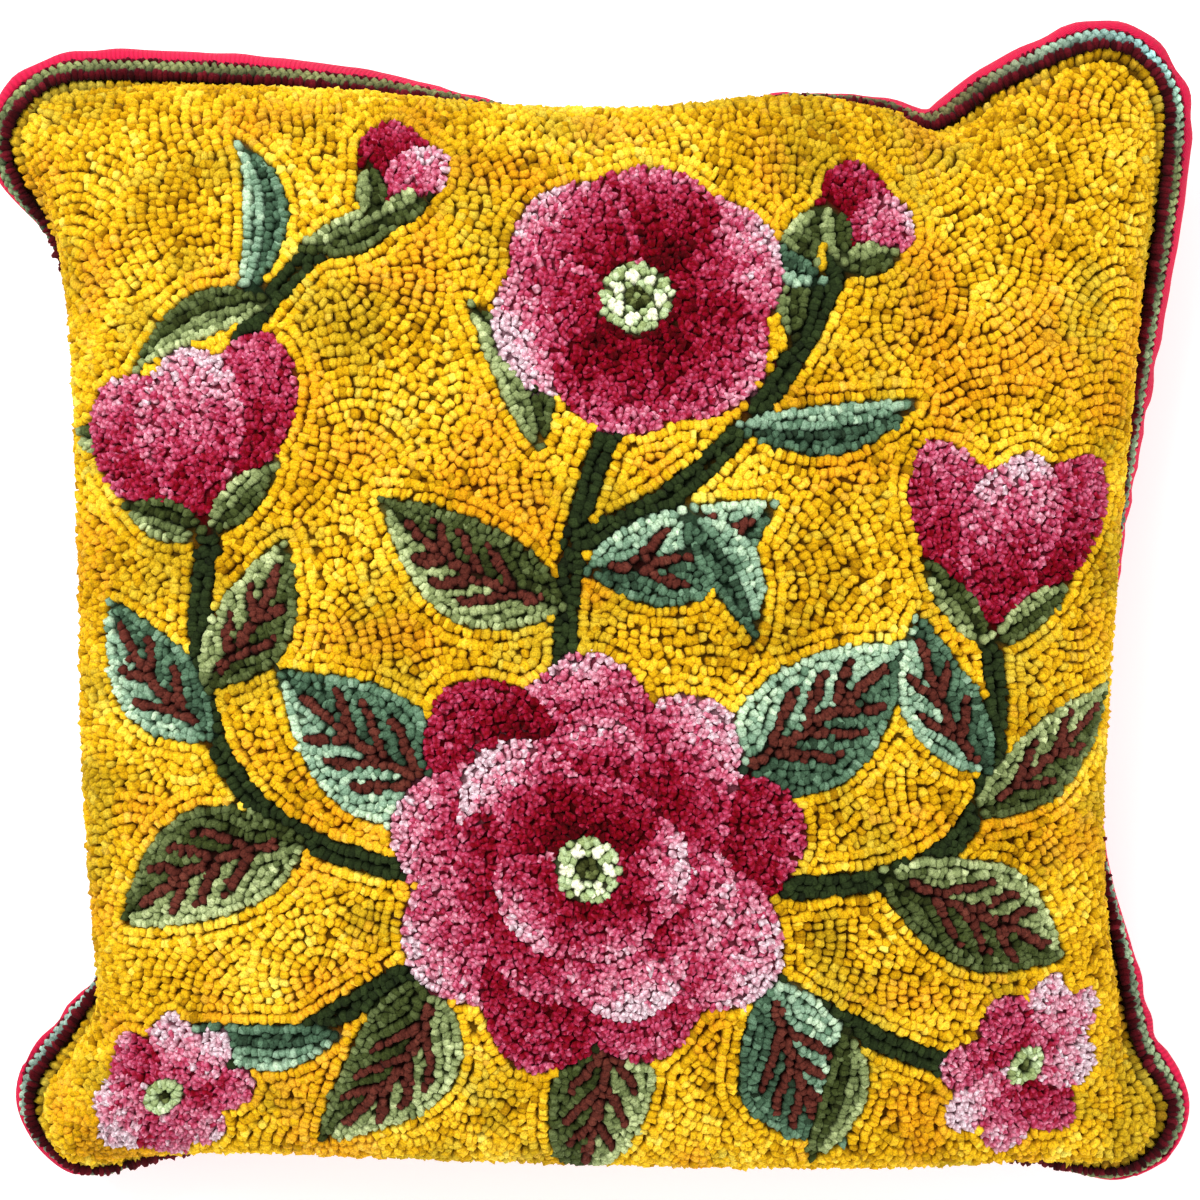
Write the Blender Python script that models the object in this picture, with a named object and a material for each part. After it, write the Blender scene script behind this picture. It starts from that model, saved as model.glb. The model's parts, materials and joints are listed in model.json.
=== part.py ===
"""Square cushion with a hooked wool front, lying on its back.

Metres, +Z up. The front face looks up, the picture's right is +X and its top is +Y.
The origin is the middle of the box's floor. The flat spot of the back cloth rests on z = 0.

Every surface is a function of two cloth coordinates, s across and t up, each from -1 at one
seam to 1 at the other. The pieces are boxes cut into a grid of s and t, whose points are then
moved onto those surfaces, so that neighbours share their facets and keep an even gap.
"""

import bmesh
import bpy
import numpy as np

MM = 0.001
TINY = 1e-9

# Driving sizes
WIDTH = 452 * MM
HEIGHT = 440 * MM
CORNER_RADIUS = 30 * MM
FRONT_CROWN = 74 * MM
BACK_CROWN = 71 * MM
SEAM_HEIGHT = 64 * MM
CLOTH = 1.7 * MM
GAP = 0.3 * MM
TRIM_GAP = 0.8 * MM
BACK_LIP = 6.5 * MM
LIP_SHARE = 0.12
GRID = 26
RIM_CROWDING = 0.12

# Powers that shape the filling: how flat its crown is, how far towards the corners its walls
# stay upright and bulge, how long the back stays out behind the rim, and how soon the seam's
# own ups and downs, its band and its facing die away inwards
CROWN_POWER = 0.7
WALL_POWER = 0.6
BULGE_POWER = 0.4
BACK_RIM_POWER = 1.5
LIFT_POWER = 3
BAND_POWER = 6
FACING_POWER = 24

# The trims lie side by side in the seam, counted from the front's edge towards the back
BORDER_RADIUS = 1.75 * MM
BRAID_RADIUS = 2.4 * MM
STITCH_RADIUS = 0.75 * MM
BORDER_AT = BORDER_RADIUS + 0.05 * MM
BRAID_AT = BORDER_AT + BORDER_RADIUS + GAP + BRAID_RADIUS
STITCH_AT = BRAID_AT + BRAID_RADIUS + GAP + STITCH_RADIUS
BAND = STITCH_AT + STITCH_RADIUS + GAP

# How strongly the cloth bulges past each seam: right, left, top, bottom
FRONT_BULGE = (8 * MM, 17 * MM, 7 * MM, 19 * MM)
BACK_BULGE = (9 * MM, 7 * MM, 9 * MM, 7 * MM)

# How far each corner sits from its place on the rectangle: (side of s, side of t, mm in x, mm in y)
CORNER_SHIFTS = (
    (-1, 1, 4, -6),
    (1, 1, 2, 5),
    (1, -1, 2, 5),
    (-1, -1, 9, 8),
)

# The seam, clockwise from the top left corner. Columns: place (a whole number is a corner),
# mm drawn in from the straight side, mm above the seam's usual height, degrees that the band
# of trims turns up to face the front
SEAM = np.array(
    (
        (0.00, 0, 6, 52),
        (0.15, 2, 4, 58),
        (0.30, 9, 0, 48),
        (0.43, 18, -2, 16),
        (0.55, 21, -2, 4),
        (0.68, 17, -1, 12),
        (0.76, 22, 0, 24),
        (0.81, 31, 3, 44),
        (0.87, 17, 8, 54),
        (0.94, 4, 12, 56),
        (1.00, 0, 12, 50),
        (1.10, 1, 10, 48),
        (1.24, 10, 5, 42),
        (1.42, 21, 0, 24),
        (1.60, 27, -3, 4),
        (1.72, 27, -4, 10),
        (1.83, 20, -3, 34),
        (1.90, 14, -3, 44),
        (1.95, 2, -2, 42),
        (2.00, 0, -2, 26),
        (2.06, 2, -3, 6),
        (2.14, 7, -4, -8),
        (2.50, 17, -4, -14),
        (2.78, 15, -8, -12),
        (2.90, 6, -13, -6),
        (2.96, 0, -16, 4),
        (3.02, 0, -18, 20),
        (3.07, 3, -18, 40),
        (3.12, 18, -15, 34),
        (3.17, 30, -11, 10),
        (3.24, 33, -8, -6),
        (3.35, 34, -6, -12),
        (3.55, 35, -4, -12),
        (3.75, 29, -1, -10),
        (3.87, 17, 2, 2),
        (3.94, 3, 5, 40),
        (4.00, 0, 6, 52),
    )
)

# Soft creases pressed into the front, each fading by CREASE_TAPER along its length and dying
# out on the seam, where the crown is low. Columns: s and t of one end, s and t of the other,
# mm across, mm deep
CREASE_TAPER = 0.6
CREASE_CROWN = 0.45
CREASES = (
    (0.60, 0.98, 0.40, 0.70, 13, 9),
    (-1.00, 0.68, -0.74, 0.60, 12, 5),
    (-0.80, -0.60, -0.78, -0.94, 14, 6),
    (0.98, -0.66, 0.78, -0.56, 13, 5),
    (0.96, 0.52, 0.72, 0.36, 20, 4),
)

# Slow swells of the filling. Columns: waves across, waves up, phase in turns, mm high
SWELLS = (
    (0.9, 0.4, 0.10, 1.6),
    (-0.5, 1.1, 0.35, 1.5),
    (1.4, -0.9, 0.70, 0.9),
)

# Colour, roughness and metallic value of each material
MATERIALS = {
    "hooked_wool": ((0.66, 0.39, 0.03), 0.95, 0.0),
    "pink_cloth": ((0.85, 0.03, 0.12), 0.85, 0.0),
    "maroon_wool": ((0.09, 0.005, 0.015), 0.95, 0.0),
    "green_wool": ((0.22, 0.26, 0.16), 0.95, 0.0),
}


def square_point(place):
    """(s, t) on the edge of the square, clockwise from its top left corner, a side to each unit."""
    side = np.floor(place % 4)
    along = 2 * (place % 1) - 1
    s = np.select([side == 0, side == 1, side == 2], [along, 1, -along], -1)
    t = np.select([side == 0, side == 1, side == 2], [1, -along, -1], along)
    return s, t


def place_of(s, t):
    """The place on the edge that lies outwards from (s, t), the inverse of square_point there."""
    reach = np.maximum(np.maximum(np.abs(s), np.abs(t)), TINY)
    s, t = s / reach, t / reach
    on_top, on_right, on_bottom = t > 1 - TINY, s > 1 - TINY, t < -1 + TINY
    return np.select(
        [on_top, on_right, on_bottom],
        [(s + 1) / 2, 1 + (1 - t) / 2, 2 + (1 - s) / 2],
        3 + (t + 1) / 2,
    )


def seam_value(column, place):
    """A column of SEAM at any place, as a smooth curve through its rows (a Catmull-Rom spline)."""
    rows = SEAM[:-1]
    count = len(rows)
    index = np.searchsorted(rows[:, 0], place % 4, side="right") - 1
    before, here, after, last = ((index + k) % count for k in (-1, 0, 1, 2))
    x0, x1, x2, x3 = (rows[k, 0] for k in (before, here, after, last))
    x0 = np.where(x0 > x1, x0 - 4, x0)
    x2 = np.where(x2 <= x1, x2 + 4, x2)
    x3 = np.where(x3 <= x1, x3 + 4, x3)
    y0, y1, y2, y3 = (rows[k, column] for k in (before, here, after, last))
    share = (place % 4 - x1) / (x2 - x1)
    rise = (x2 - x1) * (y2 - y0) / (x2 - x0)
    fall = (x2 - x1) * (y3 - y1) / (x3 - x1)
    return (
        y1 * (1 + 2 * share) * (1 - share) ** 2
        + y2 * share**2 * (3 - 2 * share)
        + rise * share * (1 - share) ** 2
        - fall * share**2 * (1 - share)
    )


def rounded_side(share, half):
    """Along a side of a rounded square: how far along from its middle, and how far inwards."""
    straight = half - CORNER_RADIUS
    length = straight + CORNER_RADIUS * np.pi / 4
    run = np.abs(share) * length
    angle = np.clip((run - straight) / CORNER_RADIUS, 0, np.pi / 4)
    along = np.minimum(run, straight) + CORNER_RADIUS * np.sin(angle)
    return np.sign(share) * along, CORNER_RADIUS * (1 - np.cos(angle))


def flat_plan(s, t):
    """The seam's outline filled in: (x, y) blended from the four sides, as a Coons patch."""
    across, in_x = rounded_side(s, WIDTH / 2)
    upwards, in_y = rounded_side(t, HEIGHT / 2)
    corner = CORNER_RADIUS * (1 - np.sqrt(0.5))
    top = HEIGHT / 2 - in_x - MM * seam_value(1, (s + 1) / 2)
    bottom = -HEIGHT / 2 + in_x + MM * seam_value(1, 2 + (1 - s) / 2)
    right = WIDTH / 2 - in_y - MM * seam_value(1, 1 + (1 - t) / 2)
    left = -WIDTH / 2 + in_y + MM * seam_value(1, 3 + (t + 1) / 2)
    x = across + ((1 - s) * left + (1 + s) * right) / 2 - s * (WIDTH / 2 - corner)
    y = upwards + ((1 - t) * bottom + (1 + t) * top) / 2 - t * (HEIGHT / 2 - corner)
    for side_s, side_t, shift_x, shift_y in CORNER_SHIFTS:
        weight = (1 + side_s * s) * (1 + side_t * t) / 4
        x = x + weight * shift_x * MM
        y = y + weight * shift_y * MM
    return x, y


def filled_plan(s, t, bulge):
    """(x, y) over the filling, where the cloth turns down steeply and bulges past the seam."""
    right, left, top, bottom = bulge
    mid_s = np.clip(np.cos(np.pi / 2 * s), 0, 1)
    mid_t = np.clip(np.cos(np.pi / 2 * t), 0, 1)
    turned_s = s + (np.sin(np.pi / 2 * s) - s) * mid_t**WALL_POWER
    turned_t = t + (np.sin(np.pi / 2 * t) - t) * mid_s**WALL_POWER
    x, y = flat_plan(turned_s, turned_t)
    x = x + np.where(s > 0, right, -left) * np.sin(np.pi * s**2) * mid_t**BULGE_POWER
    y = y + np.where(t > 0, top, -bottom) * np.sin(np.pi * t**2) * mid_s**BULGE_POWER
    return x, y


def crown(s, t):
    """How full the cushion is at (s, t): 0 on the seam and 1 in the middle."""
    product = np.cos(np.pi / 2 * s) * np.cos(np.pi / 2 * t)
    return np.clip(product, 0, 1) ** CROWN_POWER


def seam_lift(s, t):
    """The seam's height filled in over the square, from the place outwards of (s, t)."""
    reach = np.maximum(np.abs(s), np.abs(t))
    return SEAM_HEIGHT + MM * seam_value(2, place_of(s, t)) * reach**LIFT_POWER


def pressed(s, t):
    """The depth of the creases at (s, t), each a soft groove along a line."""
    depth = np.zeros_like(s)
    for s0, t0, s1, t1, across, deep in CREASES:
        run = np.array((s1 - s0, t1 - t0)) * (WIDTH / 2, HEIGHT / 2)
        off_s, off_t = (s - s0) * WIDTH / 2, (t - t0) * HEIGHT / 2
        share = np.clip((off_s * run[0] + off_t * run[1]) / (run @ run), 0, 1)
        away = np.hypot(off_s - share * run[0], off_t - share * run[1])
        fade = 1 - CREASE_TAPER * share
        depth = depth + deep * MM * fade * np.exp(-((away / (across * MM)) ** 2))
    return depth * np.clip(crown(s, t) / CREASE_CROWN, 0, 1)


def front(s, t):
    """The hooked front: the seam's height, plus the crown with its swells, less the creases."""
    x, y = filled_plan(s, t, FRONT_BULGE)
    rise = FRONT_CROWN
    for waves_s, waves_t, phase, high in SWELLS:
        rise = rise + MM * high * np.cos(np.pi * (waves_s * s + waves_t * t) + 2 * np.pi * phase)
    z = seam_lift(s, t) + rise * crown(s, t) - pressed(s, t)
    return np.stack((x, y, z), axis=-1)


def seam_frame(s, t):
    """At the place on the seam outwards of (s, t): the seam's point, the way the band of trims
    runs towards the back, and the way it faces."""
    place = place_of(s, t)
    point = front(*square_point(place))
    step = 0.02
    ahead = np.stack(flat_plan(*square_point(place + step)), axis=-1)
    behind = np.stack(flat_plan(*square_point(place - step)), axis=-1)
    along = (ahead - behind) / np.linalg.norm(ahead - behind, axis=-1, keepdims=True)
    outwards = np.stack((-along[..., 1], along[..., 0], 0 * along[..., 0]), axis=-1)
    upwards = np.zeros_like(outwards)
    upwards[..., 2] = 1
    tilt = np.radians(seam_value(3, place))[..., None]
    runs = outwards * np.sin(tilt) - upwards * np.cos(tilt)
    faces = outwards * np.cos(tilt) + upwards * np.sin(tilt)
    return point, runs, faces


def back(s, t):
    """The filling's back: from the band's far edge it swells into a lip that shows past the
    trims where they face the front, then sags until it lies flat."""
    reach = np.maximum(np.abs(s), np.abs(t))
    kept_out = (1 - (1 - reach) ** BACK_RIM_POWER) / np.maximum(reach, TINY)
    x, y = filled_plan(s * kept_out, t * kept_out, BACK_BULGE)
    _, runs, _ = seam_frame(s, t)
    inwards = np.clip((1 - reach) / LIP_SHARE, 0, 1)
    lip = BACK_LIP * 4 * inwards * (1 - inwards)
    shift = runs * (BAND * reach**BAND_POWER)[..., None]
    shift[..., :2] += runs[..., :2] * lip[..., None]
    z = seam_lift(s, t) + shift[..., 2] - BACK_CROWN * crown(s, t)
    z = np.maximum(z, CLOTH + GAP)
    return np.stack((x + shift[..., 0], y + shift[..., 1], z), axis=-1)


def back_outwards(s, t):
    """The unit vector that points out of the back at (s, t), from its slopes both ways. On the
    seam it is the way that the trims face."""
    step = 0.5 / GRID
    low_s, high_s = np.clip(s - step, -1, 1), np.clip(s + step, -1, 1)
    low_t, high_t = np.clip(t - step, -1, 1), np.clip(t + step, -1, 1)
    across = back(high_s, t) - back(low_s, t)
    upwards = back(s, high_t) - back(s, low_t)
    out = np.cross(upwards, across)
    out = out / np.linalg.norm(out, axis=-1, keepdims=True)
    _, _, faces = seam_frame(s, t)
    edge = (np.maximum(np.abs(s), np.abs(t)) ** FACING_POWER)[..., None]
    out = out * (1 - edge) + faces * edge
    return out / np.linalg.norm(out, axis=-1, keepdims=True)


def grid_box(name):
    """A box from -1 to 1, with its top and bottom cut into GRID by GRID cells, and each cell cut
    along the same diagonal, so that two pieces on one surface have the same facets."""
    mesh = bpy.data.meshes.new(name)
    bm = bmesh.new()
    bmesh.ops.create_cube(bm, size=2)
    for axis in (0, 1):
        rungs = [e for e in bm.edges if abs(e.verts[0].co[axis] - e.verts[1].co[axis]) > 1]
        bmesh.ops.subdivide_edges(bm, edges=rungs, cuts=GRID - 1, use_grid_fill=True)
    for face in [f for f in bm.faces if abs(f.normal.z) > 0.5]:
        low, _, _, high = sorted(face.verts, key=lambda v: (v.co.x + v.co.y, v.co.x))
        bmesh.utils.face_split(face, low, high)
    bm.to_mesh(mesh)
    bm.free()
    return mesh


def crowded(share):
    """An even spread of numbers from -1 to 1, moved closer together towards the ends."""
    return share + RIM_CROWDING * np.sin(np.pi * share)


def coordinates(mesh):
    """The mesh's points as an array with a row for each."""
    points = np.empty(len(mesh.vertices) * 3)
    mesh.vertices.foreach_get("co", points)
    return points.reshape(-1, 3)


def places_round():
    """The places of the grid's points on the seam, all the way round."""
    side = (crowded(np.linspace(-1, 1, GRID, endpoint=False)) + 1) / 2
    return (np.arange(4)[:, None] + side).ravel()


def centre_of_plan():
    """The middle of the box round the back cloth's outline, which reaches furthest."""
    fine = crowded(np.linspace(-1, 1, GRID + 1))
    s, t = np.meshgrid(fine, fine)
    cloth = back(s, t) + (GAP + CLOTH) * back_outwards(s, t)
    point, runs, faces = seam_frame(*square_point(places_round()))
    proud = TRIM_GAP + BRAID_RADIUS
    braid = point + runs * BRAID_AT + faces * proud
    low = np.minimum(cloth.min(axis=(0, 1))[:2], braid.min(axis=0)[:2] - BRAID_RADIUS)
    high = np.maximum(cloth.max(axis=(0, 1))[:2], braid.max(axis=0)[:2] + BRAID_RADIUS)
    middle = (low + high) / 2
    return np.array((middle[0], middle[1], 0))


def material_of(name):
    """A Principled material from the table."""
    colour, roughness, metallic = MATERIALS[name]
    material = bpy.data.materials.new(name)
    material.use_nodes = True
    shader = material.node_tree.nodes["Principled BSDF"]
    shader.inputs["Base Color"].default_value = (*colour, 1)
    shader.inputs["Roughness"].default_value = roughness
    shader.inputs["Metallic"].default_value = metallic
    return material


def add_object(name, data, material, collection):
    """A new object for the data, with its material, in the collection."""
    item = bpy.data.objects.new(name, data)
    collection.objects.link(item)
    data.materials.append(material)
    return item


def add_between(name, under, over, centre, material, collection):
    """A closed piece whose underside is one surface of s and t and whose top is another."""
    mesh = grid_box(name)
    points = coordinates(mesh)
    s, t, is_top = crowded(points[:, 0]), crowded(points[:, 1]), points[:, 2] > 0
    placed = np.where(is_top[:, None], over(s, t), under(s, t)) - centre
    mesh.vertices.foreach_set("co", placed.ravel())
    mesh.shade_smooth()
    mesh.set_sharp_from_angle(angle=np.radians(50))
    return add_object(name, mesh, material, collection)


def add_trim(name, run, radius, centre, material, collection):
    """A round trim sewn into the seam all the way round: a closed curve with a round section."""
    point, runs, faces = seam_frame(*square_point(places_round()))
    line = point + runs * run + faces * (TRIM_GAP + radius) - centre
    curve = bpy.data.curves.new(name, "CURVE")
    curve.dimensions = "3D"
    curve.bevel_depth = radius
    curve.bevel_resolution = 1
    spline = curve.splines.new("POLY")
    spline.points.add(len(line) - 1)
    spline.points.foreach_set("co", np.column_stack((line, np.ones(len(line)))).ravel())
    spline.use_cyclic_u = True
    return add_object(name, curve, material, collection)


def cloth_inside(s, t):
    """The back cloth's inner face, a gap off the filling."""
    return back(s, t) + GAP * back_outwards(s, t)


def cloth_outside(s, t):
    """The back cloth's outer face, lying flat on z = 0 where the filling is flat."""
    outer = back(s, t) + (GAP + CLOTH) * back_outwards(s, t)
    outer[..., 2] = np.where(back(s, t)[..., 2] <= CLOTH + GAP, 0, np.maximum(outer[..., 2], 0))
    return outer


def main():
    for item in list(bpy.data.objects):
        bpy.data.objects.remove(item, do_unlink=True)
    collection = bpy.data.collections.new("hooked cushion")
    bpy.context.scene.collection.children.link(collection)
    centre = centre_of_plan()
    finish = {name: material_of(name) for name in MATERIALS}
    add_between("hooked_cushion", back, front, centre, finish["hooked_wool"], collection)
    add_between("back_cloth", cloth_outside, cloth_inside, centre, finish["pink_cloth"], collection)
    add_trim("border_row", BORDER_AT, BORDER_RADIUS, centre, finish["maroon_wool"], collection)
    add_trim("green_braid", BRAID_AT, BRAID_RADIUS, centre, finish["green_wool"], collection)
    add_trim("seam_stitch", STITCH_AT, STITCH_RADIUS, centre, finish["maroon_wool"], collection)


main()
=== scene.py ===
# %% [markdown]
# # A hooked cushion on its back
# The real thing is a square panel of ground cloth, filled edge to edge with loops of dyed wool,
# sewn to a plain pink back round a soft filling. A row of maroon loops, a green braid and a line
# of dark stitches run round the seam between them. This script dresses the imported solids: it
# works out the same surfaces, hooks about 25,000 loops on the front, and sews the trims on.
# The solids come first, because every piece takes its place and size from them.

# %% Load the frame
import json

import bpy
import numpy as np
from mathutils import Matrix, Vector

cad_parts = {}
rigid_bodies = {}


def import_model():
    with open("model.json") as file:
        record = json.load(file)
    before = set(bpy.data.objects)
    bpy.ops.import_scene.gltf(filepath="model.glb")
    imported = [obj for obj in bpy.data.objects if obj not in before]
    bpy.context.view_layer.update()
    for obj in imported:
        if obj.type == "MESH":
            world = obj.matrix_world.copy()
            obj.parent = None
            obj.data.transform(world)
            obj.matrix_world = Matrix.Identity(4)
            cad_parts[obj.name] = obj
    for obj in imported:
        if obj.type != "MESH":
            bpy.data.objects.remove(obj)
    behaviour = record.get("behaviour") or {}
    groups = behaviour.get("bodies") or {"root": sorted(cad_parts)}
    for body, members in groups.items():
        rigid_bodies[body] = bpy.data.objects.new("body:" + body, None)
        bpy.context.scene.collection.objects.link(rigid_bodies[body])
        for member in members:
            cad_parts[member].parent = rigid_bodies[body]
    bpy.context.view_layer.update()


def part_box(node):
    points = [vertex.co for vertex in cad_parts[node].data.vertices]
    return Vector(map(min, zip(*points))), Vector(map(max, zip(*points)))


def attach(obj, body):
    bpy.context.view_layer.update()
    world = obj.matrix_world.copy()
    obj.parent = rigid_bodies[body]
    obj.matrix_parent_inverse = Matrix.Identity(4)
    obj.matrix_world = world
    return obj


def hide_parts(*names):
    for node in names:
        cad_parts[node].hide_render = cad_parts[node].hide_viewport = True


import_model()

# %% [markdown]
# ## The shape of the filled cover
# A filled cushion has two full faces that meet in a seam, and the filling pulls the seam inwards
# between the corners. It could be simulated, but a formula gives the same shape each time and
# lets thousands of loops ask for their place on it. Both faces are functions of two cloth
# coordinates, s across and t up, each from -1 at one seam to 1 at the other.

# %% Sizes of the cover
MM = 0.001
TINY = 1e-9
FAR = 1e9
WIDTH = 452 * MM
HEIGHT = 440 * MM
CORNER_RADIUS = 30 * MM
FRONT_CROWN = 74 * MM
BACK_CROWN = 71 * MM
SEAM_HEIGHT = 64 * MM
CLOTH = 1.7 * MM
GAP = 0.3 * MM
TRIM_GAP = 0.8 * MM
BACK_LIP = 6.5 * MM
LIP_SHARE = 0.12
CROWN_POWER = 0.7
WALL_POWER = 0.6
BULGE_POWER = 0.4
BACK_RIM_POWER = 1.5
LIFT_POWER = 3
BAND_POWER = 6
FACING_POWER = 24

# Where the trims lie in the seam, counted from the front's edge towards the back
BORDER_RADIUS = 1.75 * MM
BRAID_RADIUS = 2.4 * MM
STITCH_RADIUS = 0.75 * MM
BORDER_AT = BORDER_RADIUS + 0.05 * MM
BRAID_AT = BORDER_AT + BORDER_RADIUS + GAP + BRAID_RADIUS
STITCH_AT = BRAID_AT + BRAID_RADIUS + GAP + STITCH_RADIUS
BAND = STITCH_AT + STITCH_RADIUS + GAP

# How strongly the cloth bulges past each seam: right, left, top, bottom
FRONT_BULGE = (8 * MM, 17 * MM, 7 * MM, 19 * MM)
BACK_BULGE = (9 * MM, 7 * MM, 9 * MM, 7 * MM)

# How far each corner sits from its place on the rectangle: side of s, side of t, mm in x, mm in y
CORNER_SHIFTS = (
    (-1, 1, 4, -6),
    (1, 1, 2, 5),
    (1, -1, 2, 5),
    (-1, -1, 9, 8),
)

# The seam, clockwise from the top left corner: place (a whole number is a corner), mm drawn in,
# mm above its usual height, degrees that the band of trims turns up to face the front
SEAM = np.array(
    (
        (0.00, 0, 6, 52),
        (0.15, 2, 4, 58),
        (0.30, 9, 0, 48),
        (0.43, 18, -2, 16),
        (0.55, 21, -2, 4),
        (0.68, 17, -1, 12),
        (0.76, 22, 0, 24),
        (0.81, 31, 3, 44),
        (0.87, 17, 8, 54),
        (0.94, 4, 12, 56),
        (1.00, 0, 12, 50),
        (1.10, 1, 10, 48),
        (1.24, 10, 5, 42),
        (1.42, 21, 0, 24),
        (1.60, 27, -3, 4),
        (1.72, 27, -4, 10),
        (1.83, 20, -3, 34),
        (1.90, 14, -3, 44),
        (1.95, 2, -2, 42),
        (2.00, 0, -2, 26),
        (2.06, 2, -3, 6),
        (2.14, 7, -4, -8),
        (2.50, 17, -4, -14),
        (2.78, 15, -8, -12),
        (2.90, 6, -13, -6),
        (2.96, 0, -16, 4),
        (3.02, 0, -18, 20),
        (3.07, 3, -18, 40),
        (3.12, 18, -15, 34),
        (3.17, 30, -11, 10),
        (3.24, 33, -8, -6),
        (3.35, 34, -6, -12),
        (3.55, 35, -4, -12),
        (3.75, 29, -1, -10),
        (3.87, 17, 2, 2),
        (3.94, 3, 5, 40),
        (4.00, 0, 6, 52),
    )
)

# Soft creases pressed into the front: s and t of one end, s and t of the other, mm across, deep
CREASE_TAPER = 0.6
CREASE_CROWN = 0.45
CREASES = (
    (0.60, 0.98, 0.40, 0.70, 13, 9),
    (-1.00, 0.68, -0.74, 0.60, 12, 5),
    (-0.80, -0.60, -0.78, -0.94, 14, 6),
    (0.98, -0.66, 0.78, -0.56, 13, 5),
    (0.96, 0.52, 0.72, 0.36, 20, 4),
)

# Slow swells of the filling: waves across, waves up, phase in turns, mm high
SWELLS = (
    (0.9, 0.4, 0.10, 1.6),
    (-0.5, 1.1, 0.35, 1.5),
    (1.4, -0.9, 0.70, 0.9),
)


# %% Places on the seam
def square_point(place):
    """(s, t) on the edge of the square, clockwise from its top left corner, a side to each unit."""
    side = np.floor(place % 4)
    along = 2 * (place % 1) - 1
    s = np.select([side == 0, side == 1, side == 2], [along, 1, -along], -1)
    t = np.select([side == 0, side == 1, side == 2], [1, -along, -1], along)
    return s, t


def place_of(s, t):
    """The place on the edge that lies outwards from (s, t), the inverse of square_point there."""
    reach = np.maximum(np.maximum(np.abs(s), np.abs(t)), TINY)
    s, t = s / reach, t / reach
    on_top, on_right, on_bottom = t > 1 - TINY, s > 1 - TINY, t < -1 + TINY
    return np.select(
        [on_top, on_right, on_bottom],
        [(s + 1) / 2, 1 + (1 - t) / 2, 2 + (1 - s) / 2],
        3 + (t + 1) / 2,
    )


def seam_value(column, place):
    """A column of SEAM at any place, as a smooth curve through its rows (a Catmull-Rom spline)."""
    rows = SEAM[:-1]
    count = len(rows)
    index = np.searchsorted(rows[:, 0], place % 4, side="right") - 1
    before, here, after, last = ((index + k) % count for k in (-1, 0, 1, 2))
    x0, x1, x2, x3 = (rows[k, 0] for k in (before, here, after, last))
    x0 = np.where(x0 > x1, x0 - 4, x0)
    x2 = np.where(x2 <= x1, x2 + 4, x2)
    x3 = np.where(x3 <= x1, x3 + 4, x3)
    y0, y1, y2, y3 = (rows[k, column] for k in (before, here, after, last))
    share = (place % 4 - x1) / (x2 - x1)
    rise = (x2 - x1) * (y2 - y0) / (x2 - x0)
    fall = (x2 - x1) * (y3 - y1) / (x3 - x1)
    return (
        y1 * (1 + 2 * share) * (1 - share) ** 2
        + y2 * share**2 * (3 - 2 * share)
        + rise * share * (1 - share) ** 2
        - fall * share**2 * (1 - share)
    )


# %% The outline, filled in
def rounded_side(share, half):
    """Along a side of a rounded square: how far along from its middle, and how far inwards."""
    straight = half - CORNER_RADIUS
    length = straight + CORNER_RADIUS * np.pi / 4
    run = np.abs(share) * length
    angle = np.clip((run - straight) / CORNER_RADIUS, 0, np.pi / 4)
    along = np.minimum(run, straight) + CORNER_RADIUS * np.sin(angle)
    return np.sign(share) * along, CORNER_RADIUS * (1 - np.cos(angle))


def flat_plan(s, t):
    """The seam's outline filled in: (x, y) blended from the four sides, as a Coons patch."""
    across, in_x = rounded_side(s, WIDTH / 2)
    upwards, in_y = rounded_side(t, HEIGHT / 2)
    corner = CORNER_RADIUS * (1 - np.sqrt(0.5))
    top = HEIGHT / 2 - in_x - MM * seam_value(1, (s + 1) / 2)
    bottom = -HEIGHT / 2 + in_x + MM * seam_value(1, 2 + (1 - s) / 2)
    right = WIDTH / 2 - in_y - MM * seam_value(1, 1 + (1 - t) / 2)
    left = -WIDTH / 2 + in_y + MM * seam_value(1, 3 + (t + 1) / 2)
    x = across + ((1 - s) * left + (1 + s) * right) / 2 - s * (WIDTH / 2 - corner)
    y = upwards + ((1 - t) * bottom + (1 + t) * top) / 2 - t * (HEIGHT / 2 - corner)
    for side_s, side_t, shift_x, shift_y in CORNER_SHIFTS:
        weight = (1 + side_s * s) * (1 + side_t * t) / 4
        x = x + weight * shift_x * MM
        y = y + weight * shift_y * MM
    return x, y


def filled_plan(s, t, bulge):
    """(x, y) over the filling, where the cloth turns down steeply and bulges past the seam."""
    right, left, top, bottom = bulge
    mid_s = np.clip(np.cos(np.pi / 2 * s), 0, 1)
    mid_t = np.clip(np.cos(np.pi / 2 * t), 0, 1)
    turned_s = s + (np.sin(np.pi / 2 * s) - s) * mid_t**WALL_POWER
    turned_t = t + (np.sin(np.pi / 2 * t) - t) * mid_s**WALL_POWER
    x, y = flat_plan(turned_s, turned_t)
    x = x + np.where(s > 0, right, -left) * np.sin(np.pi * s**2) * mid_t**BULGE_POWER
    y = y + np.where(t > 0, top, -bottom) * np.sin(np.pi * t**2) * mid_s**BULGE_POWER
    return x, y


# %% How full the cover is
def crown(s, t):
    """How full the cushion is at (s, t): 0 on the seam and 1 in the middle."""
    product = np.cos(np.pi / 2 * s) * np.cos(np.pi / 2 * t)
    return np.clip(product, 0, 1) ** CROWN_POWER


def seam_lift(s, t):
    """The seam's height filled in over the square, from the place outwards of (s, t)."""
    reach = np.maximum(np.abs(s), np.abs(t))
    return SEAM_HEIGHT + MM * seam_value(2, place_of(s, t)) * reach**LIFT_POWER


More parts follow.
